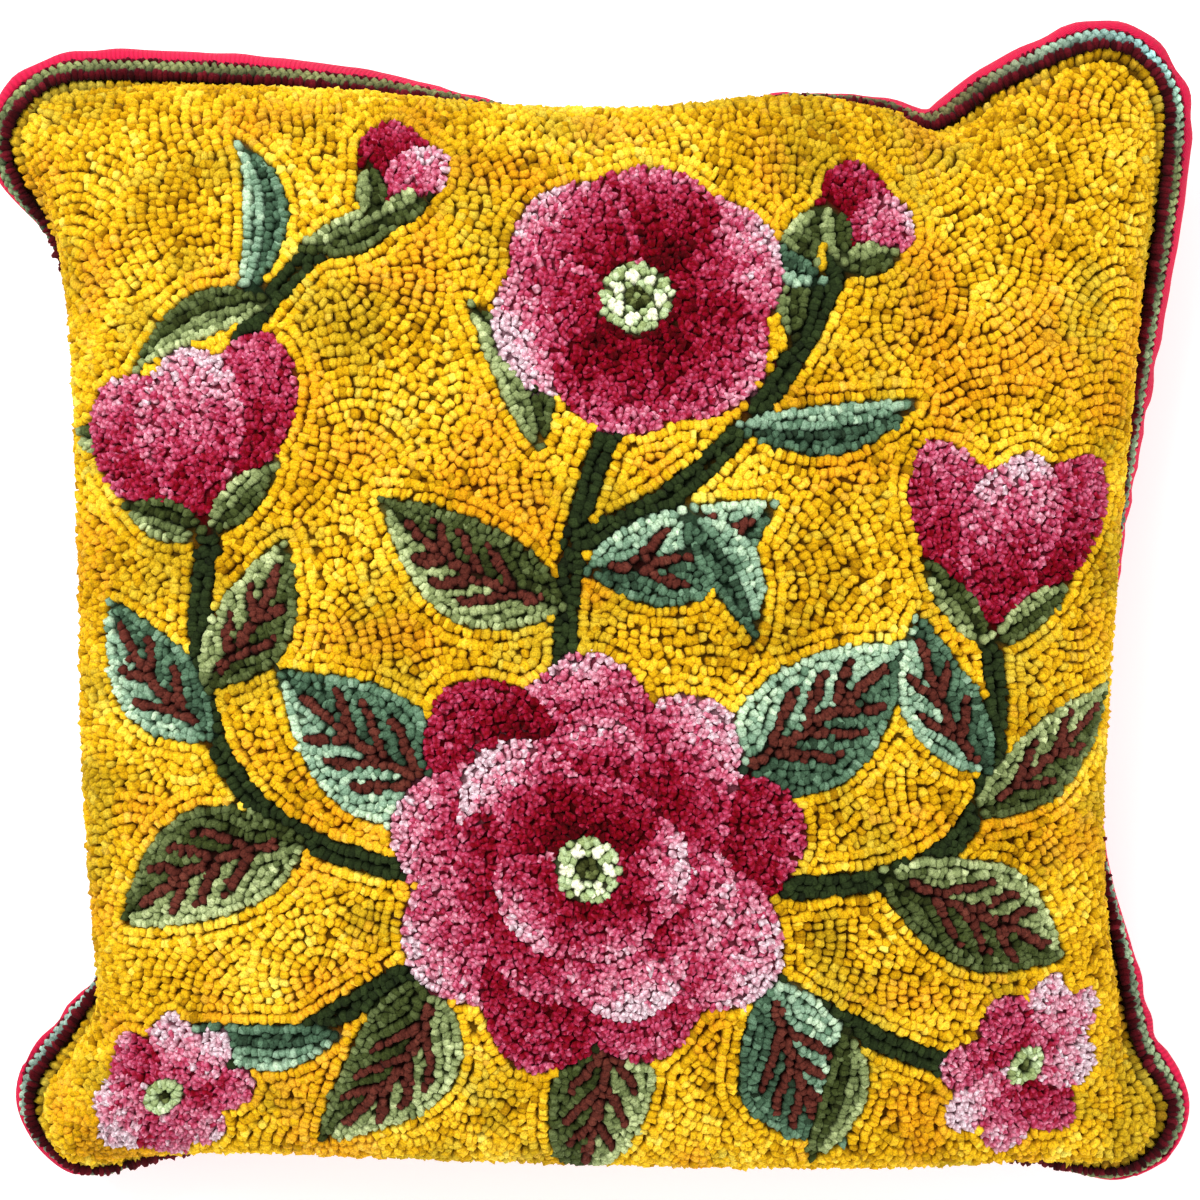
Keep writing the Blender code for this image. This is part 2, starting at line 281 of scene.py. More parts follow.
def pressed(s, t):
    """The depth of the creases at (s, t), each a soft groove along a line."""
    depth = np.zeros_like(s)
    for s0, t0, s1, t1, across, deep in CREASES:
        run = np.array((s1 - s0, t1 - t0)) * (WIDTH / 2, HEIGHT / 2)
        off_s, off_t = (s - s0) * WIDTH / 2, (t - t0) * HEIGHT / 2
        share = np.clip((off_s * run[0] + off_t * run[1]) / (run @ run), 0, 1)
        away = np.hypot(off_s - share * run[0], off_t - share * run[1])
        fade = 1 - CREASE_TAPER * share
        depth = depth + deep * MM * fade * np.exp(-((away / (across * MM)) ** 2))
    return depth * np.clip(crown(s, t) / CREASE_CROWN, 0, 1)


def front(s, t):
    """The hooked front: the seam's height, plus the crown with its swells, less the creases."""
    x, y = filled_plan(s, t, FRONT_BULGE)
    rise = FRONT_CROWN
    for waves_s, waves_t, phase, high in SWELLS:
        rise = rise + MM * high * np.cos(np.pi * (waves_s * s + waves_t * t) + 2 * np.pi * phase)
    z = seam_lift(s, t) + rise * crown(s, t) - pressed(s, t)
    return np.stack((x, y, z), axis=-1)


# %% The seam and the back
SLOPE_STEP = 0.02


def seam_frame(s, t):
    """At the place on the seam outwards of (s, t): the seam's point, the way the band of trims
    runs towards the back, and the way it faces."""
    place = place_of(s, t)
    point = front(*square_point(place))
    ahead = np.stack(flat_plan(*square_point(place + SLOPE_STEP)), axis=-1)
    behind = np.stack(flat_plan(*square_point(place - SLOPE_STEP)), axis=-1)
    along = (ahead - behind) / np.linalg.norm(ahead - behind, axis=-1, keepdims=True)
    outwards = np.stack((-along[..., 1], along[..., 0], 0 * along[..., 0]), axis=-1)
    upwards = np.zeros_like(outwards)
    upwards[..., 2] = 1
    tilt = np.radians(seam_value(3, place))[..., None]
    runs = outwards * np.sin(tilt) - upwards * np.cos(tilt)
    faces = outwards * np.cos(tilt) + upwards * np.sin(tilt)
    return point, runs, faces


def back(s, t):
    """The filling's back: from the band's far edge it swells into a lip that shows past the
    trims where they face the front, then sags until it lies flat."""
    reach = np.maximum(np.abs(s), np.abs(t))
    kept_out = (1 - (1 - reach) ** BACK_RIM_POWER) / np.maximum(reach, TINY)
    x, y = filled_plan(s * kept_out, t * kept_out, BACK_BULGE)
    _, runs, _ = seam_frame(s, t)
    inwards = np.clip((1 - reach) / LIP_SHARE, 0, 1)
    lip = BACK_LIP * 4 * inwards * (1 - inwards)
    shift = runs * (BAND * reach**BAND_POWER)[..., None]
    shift[..., :2] += runs[..., :2] * lip[..., None]
    z = seam_lift(s, t) + shift[..., 2] - BACK_CROWN * crown(s, t)
    z = np.maximum(z, CLOTH + GAP)
    return np.stack((x + shift[..., 0], y + shift[..., 1], z), axis=-1)


def back_outwards(s, t):
    """The unit vector that points out of the back at (s, t), from its slopes both ways. On the
    seam it is the way that the trims face."""
    low_s, high_s = np.clip(s - SLOPE_STEP, -1, 1), np.clip(s + SLOPE_STEP, -1, 1)
    low_t, high_t = np.clip(t - SLOPE_STEP, -1, 1), np.clip(t + SLOPE_STEP, -1, 1)
    across = back(high_s, t) - back(low_s, t)
    upwards = back(s, high_t) - back(s, low_t)
    out = np.cross(upwards, across)
    out = out / np.linalg.norm(out, axis=-1, keepdims=True)
    _, _, faces = seam_frame(s, t)
    edge = (np.maximum(np.abs(s), np.abs(t)) ** FACING_POWER)[..., None]
    out = out * (1 - edge) + faces * edge
    return out / np.linalg.norm(out, axis=-1, keepdims=True)

# %% [markdown]
# ## From the flat panel to the filled cover
# The maker works on a flat square, 457 mm a side, and the filling then bends it. A loop's place
# is given on the flat panel, in millimetres, so the panel needs a map to s and t that keeps equal
# steps equal. It is found by evening out: a grid starts as plain proportions, and then the points
# of each row slide along the row until they are equally far apart on the cover, and so do those
# of each column. A few rounds give a map that hardly stretches the cloth.

# %% Setting the formulas on the solids
CAD_GRID = 27
RIM_CROWDING = 0.12


def crowded_line(count):
    """Numbers from -1 to 1, closer together towards the ends, as in the solids' own grid."""
    even = np.linspace(-1, 1, count)
    return even + RIM_CROWDING * np.sin(np.pi * even)


cad_s, cad_t = np.meshgrid(crowded_line(CAD_GRID), crowded_line(CAD_GRID))
cad_points = np.concatenate((front(cad_s, cad_t), back(cad_s, cad_t))).reshape(-1, 3)
body_low, body_high = (np.array(corner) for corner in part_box("hooked_cushion"))
shift = (body_low + body_high - cad_points.min(axis=0) - cad_points.max(axis=0)) / 2
print("the solids' middle lies at", (shift / MM).round(2), "mm from the formulas' own")
shift[2] = 0

# %% Evening out the panel's grid
PANEL_HALF = 228.5
EVEN_GRID = 361
EVEN_ROUNDS = 5


def slid(s, t):
    """Each row's points slid along it until they are equally far apart on the cover: for each
    row, its running length's inverse at equal shares."""
    points = front(s, t)
    steps = np.linalg.norm(np.diff(points, axis=1), axis=2)
    run = np.pad(np.cumsum(steps, axis=1), ((0, 0), (1, 0)))
    share = run / run[:, -1:]
    even = np.linspace(0, 1, s.shape[1])
    s = np.array([np.interp(even, share[row], s[row]) for row in range(len(s))])
    t = np.array([np.interp(even, share[row], t[row]) for row in range(len(t))])
    return s, t


def evened():
    """s and t on an even grid over the flat panel, after rows and columns were slid in turn."""
    s, t = np.meshgrid(np.linspace(-1, 1, EVEN_GRID), np.linspace(-1, 1, EVEN_GRID))
    for _ in range(EVEN_ROUNDS):
        s, t = slid(s, t)
        s, t = slid(s.T, t.T)
        s, t = s.T, t.T
    return s, t


even_s, even_t = evened()


def between(table, across, upwards):
    """A table over the flat panel, read at places in mm, in straight steps both ways."""
    u, v = ((np.clip(k, -PANEL_HALF, PANEL_HALF) / PANEL_HALF + 1) / 2 for k in (across, upwards))
    u, v = u * (EVEN_GRID - 1), v * (EVEN_GRID - 1)
    low_u, low_v = (np.minimum(k.astype(int), EVEN_GRID - 2) for k in (u, v))
    u, v = u - low_u, v - low_v
    bottom = table[low_v, low_u] * (1 - u) + table[low_v, low_u + 1] * u
    top = table[low_v + 1, low_u] * (1 - u) + table[low_v + 1, low_u + 1] * u
    return bottom * (1 - v) + top * v


def cloth_at(across, upwards):
    """(s, t) of a place on the flat panel, in mm from its middle."""
    return between(even_s, across, upwards), between(even_t, across, upwards)


def front_at(across, upwards):
    """The point of the cover's front at a place on the flat panel."""
    return front(*cloth_at(across, upwards)) + shift


def unit(vectors):
    """Vectors made one unit long."""
    return vectors / np.maximum(np.linalg.norm(vectors, axis=-1, keepdims=True), TINY)


def front_out(across, upwards):
    """The unit vector out of the cover at a place on the flat panel: square to the way round the
    panel's middle and to the way inwards, which differ even in the rounded corners."""
    turn, inwards = 1.5, 4.0
    away = np.maximum(np.hypot(across, upwards), inwards)
    side_x, side_y = -upwards * turn / away, across * turn / away
    ahead = front_at(across + side_x, upwards + side_y)
    behind = front_at(across - side_x, upwards - side_y)
    inner = front_at(across * (1 - inwards / away), upwards * (1 - inwards / away))
    return unit(np.cross(ahead - behind, inner - front_at(across, upwards)))

# %% [markdown]
# ## The pattern, drawn flat
# The maker draws the pattern on the ground cloth before the first loop is pulled, and fills it
# area by area. The same is done here on a flat map of the panel, in millimetres, by painting
# shapes over each other: every shape is a plain formula that says which points lie inside it.
# The flowers are ordinary garden ones in a loose bouquet. For each point the map keeps three
# things: which area it belongs to, which dyed wool fills it, and how light the wool is there.

# %% A flat map of the panel
MAP_STEP = 0.8
map_side = np.arange(-PANEL_HALF, PANEL_HALF + MAP_STEP, MAP_STEP)
map_x, map_y = np.meshgrid(map_side, map_side)
map_area = np.zeros(map_x.shape, int)
map_wool = np.zeros(map_x.shape, int)
map_tone = np.full(map_x.shape, 0.5)
GOLD, PINK, LEAF, TEAL, STEM, VEIN, CENTRE = range(7)


def paint(inside, wool, tone):
    """Fills the points inside with one wool, as a new area. tone runs from 0, dark, to 1, light."""
    map_area[inside] = map_area.max() + 1
    map_wool[inside] = wool
    map_tone[inside] = np.broadcast_to(tone, map_x.shape)[inside]


def turned(x0, y0, degrees):
    """The map's points seen from (x0, y0): how far ahead in a direction, and how far to its left."""
    angle = np.radians(degrees)
    off_x, off_y = map_x - x0, map_y - y0
    return (
        off_x * np.cos(angle) + off_y * np.sin(angle),
        off_y * np.cos(angle) - off_x * np.sin(angle),
    )


# %% [markdown]
# ### Stems, leaves, petals
# A stem is every point within half its width of a curve with one bend, a quadratic Bezier curve.
# A leaf is the space between two arcs on a bent midrib. Its halves are two areas, one lit and
# one in shade, and its veins are single rows of brown loops. A petal is widest towards its tip,
# dark at its foot and light at its rim, as the dyed wool runs.

# %% Stems and leaves
STEM_WIDTH = 8.5
VEIN_WIDTH = 4.2
CURVE_STEPS = 24


def curve_points(ends):
    """Points on the curve from (x0, y0) to (x2, y2) that bends towards (x1, y1)."""
    x0, y0, x1, y1, x2, y2 = ends
    share = np.linspace(0, 1, CURVE_STEPS)[:, None]
    corners = np.array(((x0, y0), (x1, y1), (x2, y2)))
    weights = np.hstack(((1 - share) ** 2, 2 * share * (1 - share), share**2))
    return weights @ corners


def near_path(points):
    """For each point of the map, how far it is from the line through the points."""
    nearest = np.full(map_x.shape, FAR)
    for (x0, y0), (x1, y1) in zip(points[:-1], points[1:]):
        run_x, run_y = x1 - x0, y1 - y0
        off_x, off_y = map_x - x0, map_y - y0
        share = np.clip((off_x * run_x + off_y * run_y) / (run_x**2 + run_y**2), 0, 1)
        away = np.hypot(off_x - share * run_x, off_y - share * run_y)
        nearest = np.minimum(nearest, away)
    return nearest


def paint_stem(*ends):
    """A stem along one curve."""
    paint(near_path(curve_points(ends)) < STEM_WIDTH / 2, STEM, 0.42)


def paint_leaf(x0, y0, degrees, length, width, bend, wool, veins):
    """A leaf from its foot at (x0, y0): between two sine arches, one on each side of a midrib
    that bows sideways by bend. Its two sides are areas of their own, and veins is the number of
    side veins on each side."""
    ahead, left = turned(x0, y0, degrees)
    share = ahead / length
    rib = bend * np.sin(np.pi * np.clip(share, 0, 1))
    side = left - rib
    arch = width / 2 * np.sin(np.pi * np.clip(share, 0, 1) ** 0.85) ** 0.9
    within = (share > 0) & (share < 1) & (np.abs(side) < arch)
    reach = np.abs(side) / np.maximum(arch, TINY)
    paint(within & (side >= 0), wool, 0.52 + 0.34 * reach + 0.12 * share)
    paint(within & (side < 0), wool, 0.12 + 0.34 * reach + 0.10 * share)
    if veins:
        middle = within & (np.abs(side) < VEIN_WIDTH / 2) & (share > 0.12) & (share < 0.86)
        paint(middle, VEIN, 0.45)
        for number in range(veins):
            foot = 0.24 + 0.5 * number / veins
            for hand in (1, -1):
                fork = hand * side - (share - foot) * length * 0.75
                sprig = within & (np.abs(fork) < VEIN_WIDTH * 0.55) & (reach < 0.66)
                paint(sprig & (hand * side > 0) & (share > foot), VEIN, 0.35)


# %% Petals and flowers
def paint_petal(x0, y0, degrees, length, width, low, high):
    """A petal from its foot at (x0, y0): its half width grows with a power of the way ahead and
    closes in a round end. Its tone runs from low at the foot to high at the rim."""
    ahead, left = turned(x0, y0, degrees)
    share = np.clip(ahead / length, 0, 1)
    half = width / 2 * np.sin(np.pi * share**1.45) ** 0.55
    half = np.where(share < 0.62, np.maximum(half, width / 2 * share * 1.25), half)
    within = (ahead > 0) & (ahead < length) & (np.abs(left) < half)
    rim = np.maximum(share, (np.abs(left) / np.maximum(half, TINY)) ** 3 * 0.85)
    paint(within, PINK, low + (high - low) * rim**1.35)


PETAL_SHADE = 0.26


def paint_disc(x0, y0, radius, wool, tone):
    """A round area."""
    paint(np.hypot(map_x - x0, map_y - y0) < radius, wool, tone)


def paint_ring(x0, y0, radius, petals, width, first, tones):
    """A ring of petals round (x0, y0), every other one a little lower than its neighbours."""
    low, high = tones
    for number in range(petals):
        degrees = first + 360 * number / petals
        reach = radius * (1 + 0.05 * np.cos(2.3 * number))
        shade = PETAL_SHADE * np.cos(1.9 * number + first)
        paint_petal(x0, y0, degrees, reach, width, low + shade / 2, high + shade)


def paint_middle(x0, y0, radius, dots):
    """A flower's middle: a pale green disc, a ring of dots in it and a dark eye."""
    paint_disc(x0, y0, radius, CENTRE, 0.62)
    for number in range(dots):
        angle = 2 * np.pi * number / dots
        off = radius * 0.62
        paint_disc(x0 + off * np.cos(angle), y0 + off * np.sin(angle), 2.7, CENTRE, 0.98)
    paint_disc(x0, y0, radius * 0.34, CENTRE, 0.12)

# %% [markdown]
# ### The bouquet
# One full dahlia low in the middle, an open anemone above it, a tulip on each side, and daisies,
# buds and leaves between them. Stems are painted first, then leaves, then flowers, so that the
# later ones lie on top. Tables keep the places, in millimetres from the middle of the panel.

# %% Where everything grows
# Stems: from x, y, bending towards x, y, to x, y
STEMS = (
    (0, -60, -25, 20, 12, 92),
    (-30, -80, -165, -95, -138, 38),
    (30, -80, 168, -110, 142, 10),
    (-138, 30, -150, 110, -82, 150),
    (-6, 36, 60, 60, 88, 138),
    (-30, -95, -110, -140, -150, -170),
    (30, -95, 100, -150, 158, -160),
)
# Leaves: foot x, y, degrees, length, width, bend, wool, veins
LEAVES = (
    (-42, -58, 148, 84, 46, 5, TEAL, 3),
    (44, -48, 36, 84, 46, -5, TEAL, 3),
    (-10, 12, 152, 76, 36, 6, LEAF, 3),
    (-4, 26, 18, 72, 34, -6, TEAL, 2),
    (-104, -73, 203, 84, 40, -6, LEAF, 3),
    (-60, -118, 242, 78, 42, 5, LEAF, 3),
    (62, -118, 298, 78, 42, -5, TEAL, 3),
    (104, -81, 330, 88, 40, 6, LEAF, 3),
    (-137, -38, 128, 68, 32, 5, TEAL, 2),
    (-141, -20, 60, 62, 30, -5, LEAF, 2),
    (144, -42, 118, 64, 31, 6, TEAL, 2),
    (138, -56, 28, 72, 32, -4, LEAF, 2),
    (-146, 78, 176, 56, 17, 6, LEAF, 0),
    (-128, 118, 96, 66, 17, -9, TEAL, 0),
    (-110, 136, 30, 52, 16, -6, LEAF, 0),
    (48, 76, 12, 70, 18, -9, TEAL, 0),
    (70, 104, 74, 60, 17, 8, LEAF, 0),
    (84, 128, 150, 50, 15, 6, TEAL, 0),
    (-96, -142, 180, 62, 18, 8, TEAL, 0),
    (92, -136, 262, 60, 18, 7, LEAF, 0),
    (0, -120, 270, 88, 38, 4, LEAF, 3),
    (-118, 118, 200, 58, 18, -7, LEAF, 0),
    (30, 46, 300, 54, 20, 6, TEAL, 0),
    (-20, 66, 118, 60, 20, -7, LEAF, 0),
)


# %% Painting the flowers
def paint_tulip(x0, y0, degrees, size):
    """A tulip seen from the side: two outer petals, then a middle one over them."""
    for lean, high in ((26, 0.55), (-26, 0.42)):
        paint_petal(x0, y0, degrees + lean, size, size * 0.52, 0.1, high + 0.25)
    paint_petal(x0, y0, degrees, size * 0.94, size * 0.56, 0.28, 1.02)
    for lean in (58, -58):
        paint_leaf(x0, y0, degrees + lean, size * 0.5, size * 0.2, 0, LEAF, 0)


def paint_bud(x0, y0, degrees, size):
    """A bud: one light petal over a dark one, held in two small sepals."""
    paint_petal(x0, y0, degrees + 14, size, size * 0.62, 0.05, 0.6)
    paint_petal(x0, y0, degrees - 12, size * 0.9, size * 0.5, 0.45, 1.0)
    for lean in (36, -36):
        paint_leaf(x0, y0, degrees + lean, size * 0.6, size * 0.28, 0, LEAF, 0)


for stem in STEMS:
    paint_stem(*stem)
for leaf in LEAVES:
    paint_leaf(*leaf)
paint_ring(-2, -78, 76, 9, 50, 10, (-0.1, 0.84))
paint_ring(-2, -78, 55, 7, 46, 34, (-0.12, 0.95))
paint_ring(-2, -78, 35, 5, 40, 0, (-0.1, 0.8))
paint_middle(-2, -78, 12, 6)
paint_ring(14, 122, 52, 6, 50, 20, (0.02, 0.94))
paint_middle(14, 122, 13, 7)
paint_tulip(-140, 36, 100, 74)
paint_tulip(142, 8, 78, 74)
paint_bud(-82, 146, 62, 42)
paint_bud(88, 134, 60, 44)
paint_ring(-160, -172, 34, 8, 20, 10, (0.5, 1.05))
paint_middle(-160, -172, 8, 0)
paint_ring(166, -162, 36, 8, 21, 30, (0.42, 1.0))
paint_middle(166, -162, 8, 0)
print("areas:", map_area.max(), "share hooked in gold:", round(float((map_wool == GOLD).mean()), 2))

# %% [markdown]
# ## Rows of loops
# The maker works in rows. Inside a leaf or petal the rows follow its outline, so each row lies
# at a steady distance from the area's edge. The plain gold ground starts with two echo rows
# round every motif, and is then filled in small fans, each a set of arcs round its own centre.
# So the map needs the distance to the nearest edge, measured over the curved cover in real
# millimetres. Jump flooding finds it: every point asks points far away, then nearer and nearer
# ones, which edge point is closest to them, and keeps the best answer.

# %% Distance to the nearest edge of an area
ROW = 4.2
PITCH = 3.05
FINER = {PINK: 0.82, LEAF: 0.9, TEAL: 0.9, VEIN: 0.9, CENTRE: 0.85}
ECHO_ROWS = 2

map_size = np.ones(map_x.shape)
for number, share in FINER.items():
    map_size[map_wool == number] = share

map_points = front_at(map_x, map_y) / MM


def slopes(values, axis):
    """How the values change for each mm of the flat map along an axis."""
    return np.gradient(values, MAP_STEP, axis=axis)


map_run_p, map_run_q = slopes(map_points, 1), slopes(map_points, 0)
map_stretch = np.linalg.norm(np.cross(map_run_p, map_run_q), axis=-1)


def edge_points(area):
    """True where a point's neighbour belongs to another area, and all round the panel."""
    edge = np.zeros(area.shape, bool)
    across, upwards = area[:, 1:] != area[:, :-1], area[1:] != area[:-1]
    edge[:, 1:] |= across
    edge[:, :-1] |= across
    edge[1:] |= upwards
    edge[:-1] |= upwards
    edge[[0, -1]] = True
    edge[:, [0, -1]] = True
    return edge


def edge_distance(area):
    """Jump flooding: the distance over the cover from each point to the nearest edge point."""
    rows, columns = area.shape
    flat_points = map_points.reshape(-1, 3)
    nearest = np.where(edge_points(area), np.arange(area.size).reshape(area.shape), -1)
    distance = np.where(nearest >= 0, 0.0, FAR)
    step = 2 ** int(np.log2(max(area.shape)))
    while step >= 1:
        for down in (-step, 0, step):
            for right in (-step, 0, step):
                here_rows = slice(max(0, -down), min(rows, rows - down))
                here_columns = slice(max(0, -right), min(columns, columns - right))
                there_rows = slice(max(0, down), min(rows, rows + down))
                there_columns = slice(max(0, right), min(columns, columns + right))
                asked = nearest[there_rows, there_columns]
                here = map_points[here_rows, here_columns]
                away = np.linalg.norm(here - flat_points[asked], axis=-1)
                better = (asked >= 0) & (away < distance[here_rows, here_columns])
                distance[here_rows, here_columns] = np.where(
                    better, away, distance[here_rows, here_columns]
                )
                nearest[here_rows, here_columns] = np.where(
                    better, asked, nearest[here_rows, here_columns]
                )
        step //= 2
    return distance + MAP_STEP / 2


def softened(values, times):
    """The values, each averaged with its neighbours across and up, as many times as asked."""
    for _ in range(times):
        for axis in (0, 1):
            padding = [(1, 1) if k == axis else (0, 0) for k in (0, 1)]
            wide = np.pad(values, padding, mode="edge")
            count = values.shape[axis]
            low, middle, high = (np.take(wide, np.arange(k, k + count), axis) for k in range(3))
            values = (low + 2 * middle + high) / 4
    return values


edge_reach = softened(edge_distance(map_area), 3)
seam_reach = edge_distance(np.zeros_like(map_area))
print("furthest from an edge:", round(float(edge_reach.max()), 1), "mm")

# %% Fans in the ground
FAN_SPACING = 40
draw = np.random.default_rng(7)


def fan_reach():
    """For each point, the distance to its fan's centre. A fan's patch is the points nearest to
    its seed, and its arcs' centre lies off to one side of the patch."""
    count = int(2 * PANEL_HALF / FAN_SPACING) + 2
    lattice = (np.arange(count) - (count - 1) / 2) * FAN_SPACING
    seed_x, seed_y = (a.ravel() for a in np.meshgrid(lattice, lattice))
    seed_x = seed_x + draw.uniform(-0.45, 0.45, seed_x.size) * FAN_SPACING
    seed_y = seed_y + draw.uniform(-0.45, 0.45, seed_y.size) * FAN_SPACING
    turn = draw.uniform(0, 2 * np.pi, seed_x.size)
    off = draw.uniform(0.35, 0.95, seed_x.size) * FAN_SPACING
    chosen = np.zeros(map_x.shape, int)
    nearest = np.full(map_x.shape, FAR)
    for number in range(seed_x.size):
        away = np.hypot(map_x - seed_x[number], map_y - seed_y[number])
        chosen = np.where(away < nearest, number, chosen)
        nearest = np.minimum(nearest, away)
    centre_x = np.clip(seed_x + off * np.cos(turn), -PANEL_HALF, PANEL_HALF)
    centre_y = np.clip(seed_y + off * np.sin(turn), -PANEL_HALF, PANEL_HALF)
    centres = front_at(centre_x, centre_y) / MM
    return np.linalg.norm(map_points - centres[chosen], axis=-1)


in_fan = (map_wool == GOLD) & (edge_reach > ECHO_ROWS * ROW)
reach = np.where(in_fan, fan_reach(), edge_reach)
fan_slopes = [np.where(in_fan, slopes(reach, k), slopes(edge_reach, k)) for k in (1, 0)]
print("share of the panel in fans:", round(float(in_fan.mean()), 2))

# %% [markdown]
# ## Finding each loop its place
# So many loops can't be placed by hand, and a plain grid would cut across the rows. Instead, the
# loops start on an even lattice and jostle: each is drawn to the nearest row, and pushes its
# neighbours away until they stand one pitch apart along the row and one row apart across it. The
# pull is weak at first and firm at the end, as when the maker evens out the pile by hand.
# Neighbours are found by sorting the loops into square cells, so nothing loops over loops.

# %% The lattice
ROUNDS = 64
FILL = 1.06
FULLEST = 99.5
# Steps of a well spread sequence in two dimensions: one over the plastic number, and its square
LOT_STEPS = (0.7548776662, 0.5698402910)
JITTER = 0.3
LEAST_AREA = 0.08
LEAST_SLOPE = 1e-6
RIM_ROOM = 0.85
CELL = 5.5
CELL_ROOM = 7


def start_places():
    """A triangular lattice, thinned by a low-discrepancy sequence where the cover is less
    stretched, so that each loop starts with the same area of the real cover."""
    fullest = float(np.percentile(map_stretch / map_size**2, FULLEST))
    spacing = np.sqrt(ROW * PITCH / FILL / fullest * 2 / np.sqrt(3))
    rise = spacing * np.sqrt(3) / 2
    columns = np.arange(int(2 * PANEL_HALF / spacing))
    rows = np.arange(int(2 * PANEL_HALF / rise))
    column, row = (a.ravel() for a in np.meshgrid(columns, rows))
    places = np.column_stack(
        (
            (column + 0.25 + 0.5 * (row % 2)) * spacing - PANEL_HALF,
            (row + 0.5) * rise - PANEL_HALF,
        )
    )
    lot = (column * LOT_STEPS[0] + row * LOT_STEPS[1]) % 1
    share = sampled(map_stretch, places) / sampled(map_size, places) ** 2 / fullest
    places = places[lot < share]
    return places + draw.normal(0, JITTER, places.shape)


def cells_of(places):
    """The map's row and column nearest to each place."""
    cell = np.rint((places + PANEL_HALF) / MAP_STEP).astype(int)
    cell = np.clip(cell, 0, map_x.shape[0] - 1)
    return cell[:, 1], cell[:, 0]


def sampled(values, places):
    """The map's values at the places."""
    return values[cells_of(places)]


# %% Jostling
# Share of an overlap that one round undoes, and how much of that a firm row takes back
PUSH, HELD = 0.32, 0.85
# Share of the way to its row that a loop is pulled: at first, and more when firm
PULL, PULL_MORE = 0.12, 0.5
LONGEST_STEP = 1.2
LEAST_APART = 0.05
EDGE_ROOM = 0.9
LOOK_AGAIN = 4


def neighbours(places, asking):
    """For each asking place, the numbers of the places in its square cell and in the eight cells
    round it, and -1 where there are fewer."""
    side = int(2 * PANEL_HALF / CELL) + 3

    def cell_of(points):
        column, row = (np.floor((points + PANEL_HALF) / CELL).astype(int) + 1).T
        return np.clip(row, 0, side - 1) * side + np.clip(column, 0, side - 1)

    cell = cell_of(places)
    order = np.argsort(cell, kind="stable")
    ordered = cell[order]
    slot = np.arange(len(cell)) - np.searchsorted(ordered, ordered)
    table = np.full((side * side, CELL_ROOM), -1)
    room = slot < CELL_ROOM
    table[ordered[room], slot[room]] = order[room]
    around = [down * side + right for down in (-1, 0, 1) for right in (-1, 0, 1)]
    asked = np.clip(cell_of(asking)[:, None] + around, 0, side * side - 1)
    return table[asked].reshape(len(asking), -1)


def row_frame(places):
    """At each place: the unit vectors along and across its row on the cover, the cover's two
    runs for each mm, and how far the place lies off the middle of its row."""
    run_p, run_q = sampled(map_run_p, places), sampled(map_run_q, places)
    slope_p, slope_q = sampled(fan_slopes[0], places), sampled(fan_slopes[1], places)
    out = np.cross(run_p, run_q)
    area = np.linalg.norm(out, axis=1, keepdims=True)
    out = out / area
    across = (slope_p[:, None] * np.cross(run_q, out) + slope_q[:, None] * np.cross(out, run_p)) / area
    size = np.maximum(np.linalg.norm(across, axis=1, keepdims=True), LEAST_SLOPE)
    across = across / size
    rows, columns = cells_of(places)
    off_map = places - np.column_stack((map_x[rows, columns], map_y[rows, columns]))
    height = reach[rows, columns] + slope_p * off_map[:, 0] + slope_q * off_map[:, 1]
    row = ROW * map_size[rows, columns]
    off = height - row * (np.floor(height / row) + 0.5)
    return np.cross(out, across), across, run_p, run_q, off


def to_flat(moves, run_p, run_q):
    """Moves over the cover, in mm, as moves on the flat panel: the least squares answer."""
    pp, qq = (run_p * run_p).sum(1), (run_q * run_q).sum(1)
    pq = (run_p * run_q).sum(1)
    along_p, along_q = (moves * run_p).sum(1), (moves * run_q).sum(1)
    area = np.maximum(pp * qq - pq * pq, LEAST_AREA)
    return np.column_stack(((qq * along_p - pq * along_q) / area, (pp * along_q - pq * along_p) / area))


def jostled(places, rounds, start=0.0):
    """The places after some rounds of being pulled to their rows and pushed apart. The pull
    grows firmer from start to 1."""
    edge = PANEL_HALF - EDGE_ROOM
    for number in range(rounds):
        firm = start + (1 - start) * number / (rounds - 1)
        if number % LOOK_AGAIN == 0:
            near = neighbours(places, places)
            present = (near >= 0) & (near != np.arange(len(places))[:, None])
        size = sampled(map_size, places)
        along, across, run_p, run_q, off = row_frame(places)
        apart = places[:, None, :] - places[near]
        vector = apart[..., :1] * run_p[:, None, :] + apart[..., 1:] * run_q[:, None, :]
        by_pitch = np.einsum("nkd,nd->nk", vector, along) / (PITCH * size)[:, None]
        by_row = np.einsum("nkd,nd->nk", vector, across) / (ROW * size)[:, None]
        away = np.maximum(np.hypot(by_pitch, by_row), LEAST_APART)
        push = np.where(present & (away < 1), (1 - away) / away, 0)
        push_along = (push * by_pitch).sum(1) * PITCH * PUSH
        push_across = (push * by_row).sum(1) * ROW * PUSH * (1 - HELD * firm)
        pull = -off * (PULL + PULL_MORE * firm)
        moves = along * push_along[:, None] + across * (push_across + pull)[:, None]
        step = np.clip(to_flat(moves, run_p, run_q), -LONGEST_STEP, LONGEST_STEP)
        places = np.clip(places + step, -edge, edge)
    return places


# %% [markdown]
# Where rows end or meet, the jostling leaves a few bare spots, which the maker would see and fill.
# So each point of the map asks how far away the nearest loop stands, one loop is added in the
# middle of each bare spot, and a few more rounds settle it among its neighbours. The row next to
# the seam is sewn later, so the loops that stand there are taken out.

# %% Filling the bare spots
# How many rows away the nearest loop stands, at least, from a spot that is bare, in each sweep
BARE = (0.66, 0.64, 0.6)
SETTLING = 10
SETTLED = 0.8


